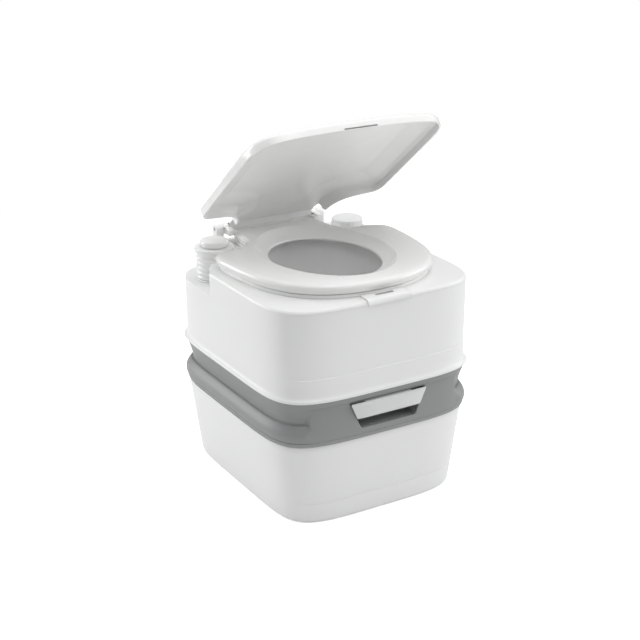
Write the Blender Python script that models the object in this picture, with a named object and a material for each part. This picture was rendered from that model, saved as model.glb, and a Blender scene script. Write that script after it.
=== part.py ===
"""Portable camp toilet: a flush tank with bowl, seat and lid on top of a waste tank.

Metres, +Z up, front towards -Y, origin at the middle of the underside.
The lid stands part open, as it is shown in use; every other moving piece is at rest.
"""
import math

import bmesh
import bpy
import numpy as np
from mathutils import Matrix, Vector

# ---- driving dimensions -------------------------------------------------------------
GAP = 0.0003
WALL = 0.003

RIM_HALF = (0.1915, 0.2135)
RIM_POWER = (4.4, 6.6)
BASE_HALF = (0.168, 0.197)
JOIN_HALF = (0.187, 0.2055)
SHOULDER_HALF = (0.1885, 0.205)

JOIN_Z = 0.1460
LIP_TOP = 0.2230
RIM_BOTTOM = 0.2233
TANK_TOP = 0.3757
DECK_TOP = 0.2130
DECK_BOTTOM = 0.2100
FLUSH_FLOOR = 0.2172

OUTLET = (0.0, -0.020)
OUTLET_R = 0.043
BLADE_Z = (0.2052, 0.2092)
BLADE_HALF_X = 0.055
BLADE_Y = (-0.077, 0.033)

HANDLE_TOP_HALF = 0.0722
HANDLE_LOW_HALF = 0.0605
HANDLE_Z = (0.1820, 0.2090)
HANDLE_FACE_Y = -0.2128
POCKET_Z = (0.1640, 0.2098)
POCKET_BACK_Y = -0.1840

HINGE_Y = 0.183
HINGE_Z = 0.401
HINGE_R = 0.0085
PIN_R = 0.0030
LID_OPEN = math.radians(39.2)
LID_NECK_Y = (0.1370, 0.1470)
LID_RISE_Y = (0.0600, 0.1100)
LID_BARREL_X = 0.0830
EAR_SPAN = (0.0840, 0.0945)
EAR_ARM_X = 0.0780
POST_SPAN = (0.0950, 0.1090)

OPENING_Y = -0.008
CREST_HALF = (0.122, 0.155)
HOLE_HALF = (0.111, 0.143)
MOUTH_HALF = (0.114, 0.146)
SEAT_BOTTOM = 0.3830
SEAT_TOP = 0.4000
PLATFORM_TOP = 0.3815
PLATFORM_INSET = 0.0055

PUMP_X, PUMP_Y = -0.138, 0.127
BELLOWS_R = 0.032
KNOB_R = 0.0245
SHELF_Z = 0.3350
BELLOWS_TOP = 0.3920
KNOB_TOP = 0.4045

CAP_X, CAP_Y = 0.145, 0.153
CAP_R = 0.0285
CAP_TOP = 0.3950

SPOUT_X, SPOUT_Y = -0.108, 0.185
SPOUT_R = 0.018
SPOUT_END_X = 0.070
SPOUT_AXIS_Z = 0.1835
RECESS_X = 0.138
RECESS_Y = 0.160
RECESS_Z = (0.1570, 0.2100)

VENT_X, VENT_Y = 0.117, 0.179
LATCH_HALF_X = 0.026
LATCH_PIN_Z = 0.2550
LATCH_Y = (0.2087, 0.2127)
LATCH_PIN_Y = 0.2107
LATCH_BACK_Y = 0.2072
LATCH_PIN_R = 0.0010

STATIONS = 48

# Half outlines from front centre to rear centre, x to the right.
LID_HALF = (
    (0.0, -0.1930), (0.060, -0.1918), (0.115, -0.1872), (0.1500, -0.1775), (0.1688, -0.1600),
    (0.1765, -0.1350), (0.178, -0.0900), (0.178, -0.030), (0.178, 0.0450), (0.1768, 0.0720),
    (0.1680, 0.0850), (0.1520, 0.0885), (0.1260, 0.0925), (0.1060, 0.1020), (0.0950, 0.1180),
    (0.0910, 0.1340), (0.0888, 0.1440), (0.0840, 0.1520), (0.0828, 0.1600), (0.0828, 0.1690),
    (0.0800, 0.1765), (0.0710, 0.1800), (0.035, 0.1800), (0.0, 0.1800))
SEAT_HALF = (
    (0.0, -0.1855), (0.043, -0.1820), (0.079, -0.1715), (0.112, -0.1525), (0.138, -0.1245),
    (0.157, -0.0860), (0.168, -0.035), (0.1725, 0.012), (0.1735, 0.040), (0.168, 0.0625),
    (0.150, 0.0745), (0.122, 0.0785), (0.1010, 0.0875), (0.0885, 0.1040), (0.0835, 0.1250),
    (0.0825, 0.1430), (0.0820, 0.1600), (0.0795, 0.1690), (0.0720, 0.1720), (0.040, 0.1720),
    (0.0, 0.1720))
NOTCH = (
    (-0.260, 0.046), (-0.189, 0.046), (-0.176, 0.070), (-0.160, 0.086), (-0.138, 0.0905),
    (-0.110, 0.0960), (-0.101, 0.1120), (-0.101, 0.260), (-0.260, 0.260))


# ---- scene and materials ------------------------------------------------------------
def clear_scene():
    """Remove every object that is already in the file."""
    for item in list(bpy.data.objects):
        bpy.data.objects.remove(item, do_unlink=True)


def make_material(name, colour, roughness, metallic=0.0):
    """A Principled material with one colour."""
    material = bpy.data.materials.new(name)
    material.use_nodes = True
    shader = material.node_tree.nodes["Principled BSDF"]
    shader.inputs["Base Color"].default_value = (*colour, 1.0)
    shader.inputs["Roughness"].default_value = roughness
    shader.inputs["Metallic"].default_value = metallic
    material.diffuse_color = (*colour, 1.0)
    return material


def make_materials():
    """Every finish the object has."""
    return {
        "white": make_material("white_plastic", (0.83, 0.84, 0.84), 0.35),
        "bowl": make_material("bowl_plastic", (0.74, 0.75, 0.75), 0.28),
        "grey": make_material("grey_plastic", (0.30, 0.31, 0.32), 0.45),
        "light_grey": make_material("light_grey_plastic", (0.62, 0.63, 0.63), 0.40),
        "rubber": make_material("black_rubber", (0.03, 0.03, 0.03), 0.80),
        "hose": make_material("clear_hose", (0.72, 0.74, 0.74), 0.30),
        "steel": make_material("steel", (0.60, 0.60, 0.60), 0.30, 1.0),
    }


# ---- mesh helpers -------------------------------------------------------------------
def make_object(name, bm, material, origin=(0, 0, 0), parent=None):
    """Turn a bmesh in world coordinates into an object whose origin is at origin."""
    bmesh.ops.recalc_face_normals(bm, faces=bm.faces)
    mesh = bpy.data.meshes.new(name)
    bm.to_mesh(mesh)
    bm.free()
    mesh.transform(Matrix.Translation(-Vector(origin)))
    if material is not None:
        mesh.materials.append(material)
    mesh.shade_smooth()
    mesh.set_sharp_from_angle(angle=math.radians(35))
    item = bpy.data.objects.new(name, mesh)
    item.location = origin
    bpy.context.collection.objects.link(item)
    if parent is not None:
        item.parent = parent
        item.location = Vector(origin) - parent.location
    return item


def make_axis(name, point):
    """An empty that stands on a joint's axis."""
    axis = bpy.data.objects.new(name, None)
    axis.empty_display_size = 0.03
    axis.location = point
    bpy.context.collection.objects.link(axis)
    return axis


def cut(target, cutter):
    """Subtract a hidden cutter from the target."""
    add_boolean(target, cutter, "DIFFERENCE")


def join(target, extra):
    """Add a hidden solid to the target."""
    add_boolean(target, extra, "UNION")


def add_boolean(target, tool, operation):
    """Put an exact Boolean on the target and hide the tool."""
    tool.hide_render = True
    tool.display_type = "WIRE"
    modifier = target.modifiers.new(tool.name, "BOOLEAN")
    modifier.operation = operation
    modifier.solver = "EXACT"
    modifier.object = tool


def rings_to_bmesh(rings, closed_loop=False):
    """Skin a list of rings of equal length, capped at both ends or joined end to end."""
    bm = bmesh.new()
    rows = [[bm.verts.new(point) for point in ring] for ring in rings]
    count = len(rings[0])
    spans = len(rows) if closed_loop else len(rows) - 1
    for row in range(spans):
        low, high = rows[row], rows[(row + 1) % len(rows)]
        for i in range(count):
            j = (i + 1) % count
            bm.faces.new((low[i], low[j], high[j], high[i]))
    if not closed_loop:
        bm.faces.new(list(reversed(rows[0])))
        bm.faces.new(rows[-1])
    return bm


def box_bmesh(low, high):
    """A box between two corners."""
    bm = bmesh.new()
    bmesh.ops.create_cube(bm, size=1.0)
    low, high = Vector(low), Vector(high)
    size = high - low
    bmesh.ops.scale(bm, vec=size, verts=bm.verts)
    bmesh.ops.translate(bm, vec=(low + high) / 2, verts=bm.verts)
    return bm


def cylinder_bmesh(start, end, radius, sides=32, radius_end=None):
    """A cylinder or cone between two points."""
    start, end = Vector(start), Vector(end)
    direction = end - start
    turn = Vector((0, 0, 1)).rotation_difference(direction.normalized()).to_matrix().to_4x4()
    bm = bmesh.new()
    bmesh.ops.create_cone(bm, cap_ends=True, segments=sides, radius1=radius,
                          radius2=radius if radius_end is None else radius_end,
                          depth=direction.length,
                          matrix=Matrix.Translation((start + end) / 2) @ turn)
    return bm


def turned_rings(profile, centre, sides):
    """One ring about a vertical axis for each (radius, z) of a profile."""
    turns = [2 * math.pi * i / sides for i in range(sides)]
    x, y = centre
    return [[(x + radius * math.cos(turn), y + radius * math.sin(turn), z) for turn in turns]
            for radius, z in profile]


def turned_bmesh(profile, centre, sides=32):
    """A ring turned about a vertical axis from a closed (radius, z) profile."""
    return rings_to_bmesh(turned_rings(profile, centre, sides), closed_loop=True)


def turned_solid_bmesh(profile, centre, sides=32):
    """A capped solid turned about a vertical axis from a (radius, z) profile."""
    return rings_to_bmesh(turned_rings(profile, centre, sides))


def prism_bmesh(outline, low, high):
    """An upright prism on an (x, y) outline."""
    return rings_to_bmesh([[(x, y, low) for x, y in outline], [(x, y, high) for x, y in outline]])


def trapezoid_bmesh(top_half, low_half, z_range, y_range):
    """A prism along Y whose front view is a trapezoid."""
    low, high = z_range
    outline = ((-low_half, low), (low_half, low), (top_half, high), (-top_half, high))
    rings = [[(x, y, z) for x, z in outline] for y in y_range]
    return rings_to_bmesh(rings)


# ---- outlines -----------------------------------------------------------------------
def superellipse(half, power, count=STATIONS):
    """Points and outward normals of a superellipse with its own power on each axis."""
    turn = (np.arange(count) + 0.5) * 2 * np.pi / count
    cosine, sine = np.cos(turn), np.sin(turn)
    x = half[0] * np.sign(cosine) * np.abs(cosine) ** (2 / power[0])
    y = half[1] * np.sign(sine) * np.abs(sine) ** (2 / power[1])
    points = np.stack([x, y], axis=1)
    return points, outline_normals(points)


def outline_normals(points):
    """Outward unit normals of a closed anticlockwise outline."""
    along = np.roll(points, -1, axis=0) - np.roll(points, 1, axis=0)
    along /= np.linalg.norm(along, axis=1)[:, None]
    return np.stack([along[:, 1], -along[:, 0]], axis=1)


def smooth_spans(keys, after, slope, slope_after, span, per_span):
    """Cubic Hermite points on every span, each starting at its key."""
    rows = []
    for step in range(per_span):
        t = step / per_span
        rows.append((2 * t ** 3 - 3 * t ** 2 + 1) * keys + (t ** 3 - 2 * t ** 2 + t) * span * slope
                    + (3 * t ** 2 - 2 * t ** 3) * after + (t ** 3 - t ** 2) * span * slope_after)
    return np.stack(rows, axis=1).reshape(-1, keys.shape[1])


def smooth_outline(half_points, per_span=2):
    """Mirror a half outline and run a closed centripetal curve through it, anticlockwise."""
    right = np.array(half_points)
    left = right[-2:0:-1] * (-1, 1)
    keys = np.concatenate([right, left])
    after = np.roll(keys, -1, 0)
    span = np.sqrt(np.linalg.norm(after - keys, axis=1))[:, None]
    chord = (after - keys) / span
    span_before, chord_before = np.roll(span, 1, 0), np.roll(chord, 1, 0)
    slope = (chord_before * span + chord * span_before) / (span + span_before)
    return smooth_spans(keys, after, slope, np.roll(slope, -1, 0), span, per_span)


def ellipse_like(outline, half, centre_y):
    """The point of an ellipse that lies in the direction of each point of an outline."""
    offset = outline - (0, centre_y)
    angle = np.arctan2(offset[:, 1] / half[1], offset[:, 0] / half[0])
    return np.stack([half[0] * np.cos(angle), centre_y + half[1] * np.sin(angle)], axis=1)


def at_height(points, z):
    """Give 2-D points a height."""
    heights = np.broadcast_to(z, len(points))
    return [(float(x), float(y), float(h)) for (x, y), h in zip(points, heights)]


def inset(points, distance):
    """Move an outline's points inwards along their normals."""
    return points - outline_normals(points) * np.reshape(distance, (-1, 1))


def shrink(points, distance, middle=(0.0, -0.020)):
    """Scale an outline towards its middle until its widest sides have moved in by a distance."""
    middle = np.array(middle)
    half = np.ptp(points, axis=0) / 2
    return middle + (points - middle) * (1 - distance / half)


def tank_half(z):
    """Half width and half depth of the plain tank form at a height."""
    levels = (0.0, JOIN_Z, RIM_BOTTOM, 0.2330, TANK_TOP)
    widths = (BASE_HALF[0], JOIN_HALF[0], RIM_HALF[0], 0.1870, SHOULDER_HALF[0])
    depths = (BASE_HALF[1], JOIN_HALF[1], RIM_HALF[1], 0.2078, SHOULDER_HALF[1])
    return float(np.interp(z, levels, widths)), float(np.interp(z, levels, depths))


def tank_ring(z, distance=0.0, level=None):
    """A ring of the tank form at height z, moved inwards, and laid at another level if given."""
    points, _ = superellipse(tank_half(z), RIM_POWER)
    return at_height(inset(points, distance), z if level is None else level)


# ---- waste tank ---------------------------------------------------------------------
def build_waste_tank_shell(materials):
    """The lower white tank: an open bucket with a rounded foot."""
    outer = [tank_ring(0.0, 0.007), tank_ring(0.0022, 0.0022), tank_ring(0.008), tank_ring(0.050)]
    outer += [tank_ring(JOIN_Z, 0.0006, JOIN_Z - GAP)]
    inner = [tank_ring(JOIN_Z, 0.0006 + WALL, JOIN_Z - GAP), tank_ring(0.010, WALL),
             tank_ring(WALL, 0.010)]
    return make_object("waste_tank_shell", rings_to_bmesh(outer + inner), materials["white"])


def band_inset(points, z):
    """How far the grey band lies inside the rim line: a finger groove on the sides and back,
    and a smoother panel across the front."""
    levels = (0.1460, 0.1540, 0.1620, 0.1720, 0.1790, 0.1840, 0.1940, 0.2060, 0.2150, 0.2190, 0.2230)
    groove = (0.0062, 0.0025, 0.0015, 0.0030, 0.0080, 0.0130, 0.0125, 0.0095, 0.0060, 0.0040, 0.0030)
    panel = (0.0062, 0.0025, 0.0030, 0.0042, 0.0050, 0.0056, 0.0068, 0.0076, 0.0072, 0.0045, 0.0030)
    front = np.clip((0.152 - np.abs(points[:, 0])) / 0.014, 0, 1) * (points[:, 1] < 0)
    front = front * front * (3 - 2 * front)
    return np.interp(z, levels, groove) * (1 - front) + np.interp(z, levels, panel) * front


def band_ring(z, extra=0.0):
    """A ring of the grey band."""
    points, normals = superellipse(RIM_HALF, RIM_POWER, STATIONS)
    distance = band_inset(points, z) + extra
    return at_height(points - normals * distance[:, None], z)


def build_waste_tank_top(materials):
    """The grey top moulding with its grip band, tray, valve opening, pull pocket and recess."""
    rim, _ = superellipse(RIM_HALF, RIM_POWER)
    tray = [at_height(inset(rim, 0.0155), DECK_TOP), at_height(inset(rim, 0.0155), LIP_TOP)]
    levels = (0.2190, 0.2150, 0.2060, 0.1940, 0.1840, 0.1790, 0.1720, 0.1620, 0.1540)
    outer = [band_ring(LIP_TOP)] + [band_ring(z) for z in levels] + [band_ring(JOIN_Z)]
    inner = [band_ring(JOIN_Z, WALL), band_ring(0.1720, WALL), at_height(inset(rim, 0.0165), 0.1840),
             at_height(inset(rim, 0.0165), DECK_BOTTOM)]
    top = make_object("waste_tank_top", rings_to_bmesh(tray + outer + inner), materials["grey"])

    pocket_wall = trapezoid_bmesh(HANDLE_TOP_HALF + 0.004, 0.0545,
                                  (POCKET_Z[0] - 0.003, DECK_BOTTOM + 0.001),
                                  (-0.2040, POCKET_BACK_Y + WALL))
    join(top, make_object("pocket_wall_tool", pocket_wall, None))
    pocket = trapezoid_bmesh(HANDLE_TOP_HALF + 0.0010, 0.0525, POCKET_Z, (-0.230, POCKET_BACK_Y))
    cut(top, make_object("pocket_tool", pocket, None))
    slot = box_bmesh((-0.0465, -0.195, BLADE_Z[0] - 0.0006), (0.0465, -0.175, POCKET_Z[1]))
    cut(top, make_object("blade_slot_tool", slot, None))

    recess_wall = box_bmesh((-RECESS_X - WALL, RECESS_Y - WALL, RECESS_Z[0] - WALL),
                            (RECESS_X + WALL, 0.1950, DECK_BOTTOM + 0.001))
    join(top, make_object("recess_wall_tool", recess_wall, None))
    well = cylinder_bmesh((VENT_X, VENT_Y, 0.1430), (VENT_X, VENT_Y, RECESS_Z[0] - 0.001), 0.0115)
    join(top, make_object("vent_well_tool", well, None))
    recess = box_bmesh((-RECESS_X, RECESS_Y, RECESS_Z[0]), (RECESS_X, 0.240, RECESS_Z[1]))
    cut(top, make_object("recess_tool", recess, None))
    bore = cylinder_bmesh((VENT_X, VENT_Y, 0.1455), (VENT_X, VENT_Y, 0.170), 0.0093)
    cut(top, make_object("vent_bore_tool", bore, None))
    breather = cylinder_bmesh((VENT_X, VENT_Y, 0.140), (VENT_X, VENT_Y, 0.150), 0.0020, 12)
    cut(top, make_object("vent_breather_tool", breather, None))
    turret = cylinder_bmesh((SPOUT_X, SPOUT_Y, 0.140), (SPOUT_X, SPOUT_Y, 0.170), SPOUT_R + 0.0012)
    cut(top, make_object("turret_hole_tool", turret, None))
    opening = cylinder_bmesh((*OUTLET, 0.200), (*OUTLET, 0.230), OUTLET_R + 0.001, 40)
    cut(top, make_object("valve_opening_tool", opening, None))
    notch = box_bmesh((-LATCH_HALF_X - 0.0015, LATCH_BACK_Y, 0.2095),
                      (LATCH_HALF_X + 0.0015, 0.230, 0.240))
    cut(top, make_object("latch_relief_tool", notch, None))
    return top


def build_valve(materials):
    """Slide valve: guide frame, lip seal, blade with its stem, and the pull handle."""
    frame = box_bmesh((-0.0605, -0.1780, 0.1990), (0.0605, 0.0400, DECK_BOTTOM - GAP))
    guide = make_object("valve_guide", frame, materials["grey"])
    channel = box_bmesh((-0.0558, -0.200, BLADE_Z[0] - 0.0005), (0.0558, 0.0345, 0.220))
    cut(guide, make_object("guide_channel_tool", channel, None))
    drop = cylinder_bmesh((*OUTLET, 0.190), (*OUTLET, 0.215), OUTLET_R + 0.001, 40)
    cut(guide, make_object("guide_drop_tool", drop, None))

    seal = turned_bmesh(((0.0435, DECK_TOP + GAP), (0.0530, DECK_TOP + GAP), (0.0520, 0.2155),
                         (0.0480, FLUSH_FLOOR - GAP), (0.0435, FLUSH_FLOOR - GAP)), OUTLET, 32)
    make_object("valve_lip_seal", seal, materials["rubber"])

    blade_origin = (0.0, BLADE_Y[0], BLADE_Z[0])
    plate = box_bmesh((-BLADE_HALF_X, BLADE_Y[0], BLADE_Z[0]), (BLADE_HALF_X, BLADE_Y[1], BLADE_Z[1]))
    blade = make_object("valve_blade", plate, materials["light_grey"], blade_origin)
    stem = box_bmesh((-0.0450, -0.1868, BLADE_Z[0]), (0.0450, BLADE_Y[0] + 0.004, BLADE_Z[1]))
    join(blade, make_object("blade_stem_tool", stem, None))

    face = trapezoid_bmesh(HANDLE_TOP_HALF, HANDLE_LOW_HALF, HANDLE_Z,
                           (HANDLE_FACE_Y, HANDLE_FACE_Y + 0.0042))
    handle = make_object("pull_handle", face, materials["light_grey"], (0.0, HANDLE_FACE_Y, HANDLE_Z[0]))
    web = box_bmesh((-0.0440, HANDLE_FACE_Y + 0.002, BLADE_Z[0] + 0.0002),
                    (0.0440, -0.1868 - GAP, BLADE_Z[1] - 0.0002))
    join(handle, make_object("handle_web_tool", web, None))


def build_spout(materials):
    """Turning pour-out spout in the rear recess, with its seal, cap and cap washer."""
    floor = RECESS_Z[0]
    turret_top = 0.2035
    spout = make_object("pour_spout", cylinder_bmesh((SPOUT_X, SPOUT_Y, 0.1500),
                                                    (SPOUT_X, SPOUT_Y, turret_top), SPOUT_R, 32),
                        materials["grey"], (SPOUT_X, SPOUT_Y, floor))
    flange = cylinder_bmesh((SPOUT_X, SPOUT_Y, floor + 0.0023), (SPOUT_X, SPOUT_Y, floor + 0.0058),
                            0.0225, 32)
    join(spout, make_object("spout_flange_tool", flange, None))
    arm = cylinder_bmesh((SPOUT_X, SPOUT_Y, SPOUT_AXIS_Z), (SPOUT_END_X, SPOUT_Y, SPOUT_AXIS_Z), 0.0175, 32)
    join(spout, make_object("spout_arm_tool", arm, None))
    bore = cylinder_bmesh((SPOUT_X, SPOUT_Y, 0.140), (SPOUT_X, SPOUT_Y, turret_top - WALL), 0.0152, 32)
    cut(spout, make_object("spout_bore_tool", bore, None))
    arm_bore = cylinder_bmesh((SPOUT_X + 0.002, SPOUT_Y, SPOUT_AXIS_Z),
                              (SPOUT_END_X + 0.02, SPOUT_Y, SPOUT_AXIS_Z), 0.0147, 32)
    cut(spout, make_object("spout_arm_bore_tool", arm_bore, None))

    ring = turned_bmesh(((SPOUT_R + 0.0004, floor + GAP), (0.0225, floor + GAP),
                         (0.0225, floor + 0.0020), (SPOUT_R + 0.0004, floor + 0.0020)),
                        (SPOUT_X, SPOUT_Y), 32)
    make_object("spout_seal", ring, materials["rubber"])

    end = SPOUT_END_X + 0.0020
    cap = make_object("spout_cap", cylinder_bmesh((end - 0.018, SPOUT_Y, SPOUT_AXIS_Z),
                                                 (end + 0.004, SPOUT_Y, SPOUT_AXIS_Z), 0.0212, 24),
                      materials["light_grey"], (end, SPOUT_Y, SPOUT_AXIS_Z))
    bore = cylinder_bmesh((end - 0.030, SPOUT_Y, SPOUT_AXIS_Z), (end, SPOUT_Y, SPOUT_AXIS_Z), 0.0181, 32)
    cut(cap, make_object("spout_cap_bore_tool", bore, None))
    washer = cylinder_bmesh((SPOUT_END_X + GAP, SPOUT_Y, SPOUT_AXIS_Z), (end - GAP, SPOUT_Y, SPOUT_AXIS_Z),
                            0.0172, 32)
    seal = make_object("spout_cap_washer", washer, materials["rubber"], (end, SPOUT_Y, SPOUT_AXIS_Z))
    eye = cylinder_bmesh((SPOUT_END_X - 0.01, SPOUT_Y, SPOUT_AXIS_Z), (end + 0.01, SPOUT_Y, SPOUT_AXIS_Z),
                         0.0060, 16)
    cut(seal, make_object("washer_eye_tool", eye, None))


def coil_bmesh(centre, z_range, radius, wire, turns, per_turn=10, sides=5):
    """A compression spring: a round wire carried along a helix about a vertical line."""
    steps = int(turns * per_turn)
    rings = []
    for i in range(steps + 1):
        angle = 2 * math.pi * i / per_turn
        z = z_range[0] + wire + (z_range[1] - z_range[0] - 2 * wire) * i / steps
        out = Vector((math.cos(angle), math.sin(angle), 0))
        middle = Vector((centre[0], centre[1], z)) + out * radius
        ring = []
        for k in range(sides):
            around = 2 * math.pi * k / sides
            ring.append(middle + out * wire * math.cos(around) + Vector((0, 0, wire * math.sin(around))))
        rings.append(ring)
    return rings_to_bmesh(rings)


def build_vent(materials):
    """Push button that lets air in while the waste tank is poured out, on its spring."""
    button = turned_solid_bmesh(((0.0088, 0.1540), (0.0088, 0.1655), (0.0078, 0.1668)),
                                (VENT_X, VENT_Y), 24)
    make_object("vent_button", button, materials["light_grey"], (VENT_X, VENT_Y, 0.1540))
    spring = coil_bmesh((VENT_X, VENT_Y), (0.1455 + GAP, 0.1540 - GAP), 0.0060, 0.0006, 3)
    make_object("vent_spring", spring, materials["steel"], (VENT_X, VENT_Y, 0.1455))


# ---- flush tank ---------------------------------------------------------------------
def flush_outside():
    """Rings of the flush tank's outside: floor, step for the lower tank, skirt rim, wall, top."""
    rim, _ = superellipse(RIM_HALF, RIM_POWER)
    low = [at_height(inset(rim, 0.0170), FLUSH_FLOOR), at_height(inset(rim, 0.0170), RIM_BOTTOM),
           at_height(inset(rim, 0.0008), RIM_BOTTOM), at_height(rim, RIM_BOTTOM + 0.0012),
           at_height(inset(rim, 0.0006), 0.2285)]
    walls = [tank_ring(z) for z in (0.2330, 0.2600, 0.3600)]
    top = [tank_ring(0.3680, 0.0010), tank_ring(0.3725, 0.0040), tank_ring(0.3750, 0.0090),
           tank_ring(TANK_TOP, 0.0150)]
    return low + walls + top


def flush_inside():
    """Rings of the flush tank's inside."""
    rim, _ = superellipse(RIM_HALF, RIM_POWER)
    return [at_height(inset(rim, 0.0170 + WALL), FLUSH_FLOOR + WALL),
            at_height(inset(rim, 0.0170 + WALL), 0.2290), tank_ring(0.2380, WALL), tank_ring(0.3600, WALL),
            tank_ring(0.3680, 0.0060), tank_ring(TANK_TOP, 0.0170, TANK_TOP - WALL)]


def notch_bmesh(grow, floor):
    """The pump corner cut out of the tank, from the shelf upwards."""
    outline = np.array(NOTCH)
    return prism_bmesh(outline + outline_normals(outline) * grow, floor, 0.450)


def build_flush_tank(materials):
    """The upper white tank: a hollow moulding with hinge posts, bowl opening and pump corner."""
    tank = make_object("flush_tank_shell", rings_to_bmesh(flush_outside()), materials["white"])
    cut(tank, make_object("pump_corner_tool", notch_bmesh(0.0, SHELF_Z), None))
    hollow = make_object("tank_hollow_tool", rings_to_bmesh(flush_inside()), None)
    cut(hollow, make_object("hollow_corner_tool", notch_bmesh(WALL, SHELF_Z - WALL), None))
    cut(tank, hollow)

    for side in (-1, 1):
        near, far = sorted((side * POST_SPAN[0], side * POST_SPAN[1]))
        post = box_bmesh((near, HINGE_Y - HINGE_R, TANK_TOP - 0.001), (far, HINGE_Y + HINGE_R, HINGE_Z))
        post_tool = make_object(f"post_tool_{near:.2f}", post, None)
        join(tank, post_tool)
        knuckle = cylinder_bmesh((near, HINGE_Y, HINGE_Z), (far, HINGE_Y, HINGE_Z), HINGE_R, 24)
        join(tank, make_object(f"post_knuckle_tool_{near:.2f}", knuckle, None))

    rim_outline = smooth_outline(SEAT_HALF)
    mouth = (MOUTH_HALF[0] + 0.0075, MOUTH_HALF[1] + 0.0045)
    opening = at_height(ellipse_like(rim_outline, mouth, OPENING_Y), 0.30)
    opening = rings_to_bmesh([opening, [(x, y, 0.40) for x, y, _ in opening]])
    cut(tank, make_object("bowl_opening_tool", opening, None))
    outlet = cylinder_bmesh((*OUTLET, 0.200), (*OUTLET, 0.230), OUTLET_R + WALL + GAP, 40)
    cut(tank, make_object("outlet_hole_tool", outlet, None))
    pump_hole = cylinder_bmesh((PUMP_X, PUMP_Y, 0.300), (PUMP_X, PUMP_Y, 0.360), 0.0100, 24)
    cut(tank, make_object("pump_hole_tool", pump_hole, None))
    fill_hole = cylinder_bmesh((CAP_X, CAP_Y, 0.350), (CAP_X, CAP_Y, 0.400), 0.0205, 32)
    cut(tank, make_object("fill_hole_tool", fill_hole, None))
    catch_slot = box_bmesh((-0.017, -0.1930, 0.360), (0.017, -0.1855, 0.390))
    cut(tank, make_object("catch_slot_tool", catch_slot, None))
    latch_seat = box_bmesh((-LATCH_HALF_X - 0.0040, LATCH_BACK_Y, 0.2200),
                           (LATCH_HALF_X + 0.0040, 0.230, LATCH_PIN_Z + 0.0070))
    cut(tank, make_object("latch_seat_tool", latch_seat, None))
    for side in (-1, 1):
        near, far = sorted((side * (LATCH_HALF_X + 0.0005), side * (LATCH_HALF_X + 0.0035)))
        lug = box_bmesh((near, 0.2060, LATCH_PIN_Z - 0.0040), (far, LATCH_Y[1], LATCH_PIN_Z + 0.0030))
        join(tank, make_object(f"latch_lug_tool_{near:.2f}", lug, None))
    lug_bore = cylinder_bmesh((-0.040, LATCH_PIN_Y, LATCH_PIN_Z), (0.040, LATCH_PIN_Y, LATCH_PIN_Z),
                              LATCH_PIN_R + 0.0003, 12)
    cut(tank, make_object("lug_bore_tool", lug_bore, None))
    pin_bore = cylinder_bmesh((-0.140, HINGE_Y, HINGE_Z), (0.140, HINGE_Y, HINGE_Z), PIN_R + 0.0004, 16)
    cut(tank, make_object("hinge_bore_tool", pin_bore, None))
    return tank


def build_bowl(materials):
    """The bowl: a flange that carries the seat, a steep wall, a ledge and a round outlet."""
    seat_line = smooth_outline(SEAT_HALF, 1)
    flange = shrink(seat_line, PLATFORM_INSET)
    inside = (
        (0.114, 0.146, -0.008, 0.3815), (0.111, 0.143, -0.008, 0.3770), (0.105, 0.134, -0.009, 0.3450),
        (0.098, 0.124, -0.011, 0.3080), (0.093, 0.116, -0.012, 0.2960), (0.078, 0.094, -0.014, 0.2870),
        (0.064, 0.074, -0.016, 0.2720), (0.051, 0.055, -0.019, 0.2450), (0.043, 0.043, -0.020, FLUSH_FLOOR))
    outside = (
        (0.046, 0.046, -0.020, FLUSH_FLOOR), (0.046, 0.046, -0.020, FLUSH_FLOOR + 0.0050),
        (0.054, 0.058, -0.019, 0.2435), (0.067, 0.077, -0.016, 0.2695), (0.081, 0.097, -0.014, 0.2840),
        (0.0965, 0.1195, -0.012, 0.2935), (0.101, 0.127, -0.011, 0.3080), (0.108, 0.137, -0.009, 0.3450),
        (0.1145, 0.1465, -0.008, TANK_TOP + GAP))
    rings = [at_height(flange, TANK_TOP + GAP), at_height(flange, PLATFORM_TOP - 0.0010),
             at_height(shrink(flange, 0.0012), PLATFORM_TOP)]
    for half_x, half_y, centre_y, z in inside + outside:
        rings.append(at_height(ellipse_like(seat_line, (half_x, half_y), centre_y), z))
    bowl = make_object("bowl", rings_to_bmesh(rings, closed_loop=True), materials["bowl"])
    spray = cylinder_bmesh((-0.135, -0.020, 0.3600), (-0.095, -0.020, 0.3600), 0.0066, 16)
    cut(bowl, make_object("nozzle_hole_tool", spray, None))
    return bowl


def build_flush_line(materials):
    """Spray nozzle in the bowl's left wall and the hose that feeds it from the pump."""
    nozzle = cylinder_bmesh((-0.1262, -0.020, 0.3600), (-0.1042, -0.020, 0.3600), 0.0062, 16)
    nozzle = make_object("flush_nozzle", nozzle, materials["light_grey"])
    bore = cylinder_bmesh((-0.150, -0.020, 0.3600), (-0.090, -0.020, 0.3600), 0.0035, 12)
    cut(nozzle, make_object("nozzle_bore_tool", bore, None))

    route = (
        (-0.138, 0.127, 0.3180), (-0.138, 0.126, 0.3090), (-0.1405, 0.116, 0.3020),
        (-0.146, 0.096, 0.3010), (-0.1500, 0.072, 0.3080), (-0.1515, 0.044, 0.3250),
        (-0.1510, 0.018, 0.3450), (-0.1475, -0.004, 0.3560), (-0.1395, -0.0165, 0.3595),
        (-0.1320, -0.0200, 0.3600), (-0.1267, -0.0200, 0.3600))
    curve = bpy.data.curves.new("flush_hose", "CURVE")
    curve.dimensions = "3D"
    curve.bevel_depth = 0.0045
    curve.bevel_resolution = 2
    curve.use_fill_caps = True
    points = smooth_path(np.array(route), 3)
    spline = curve.splines.new("POLY")
    spline.points.add(len(points) - 1)
    for item, point in zip(spline.points, points):
        item.co = (*point, 1.0)
    curve.materials.append(materials["hose"])
    hose = bpy.data.objects.new("flush_hose", curve)
    bpy.context.collection.objects.link(hose)


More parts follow.
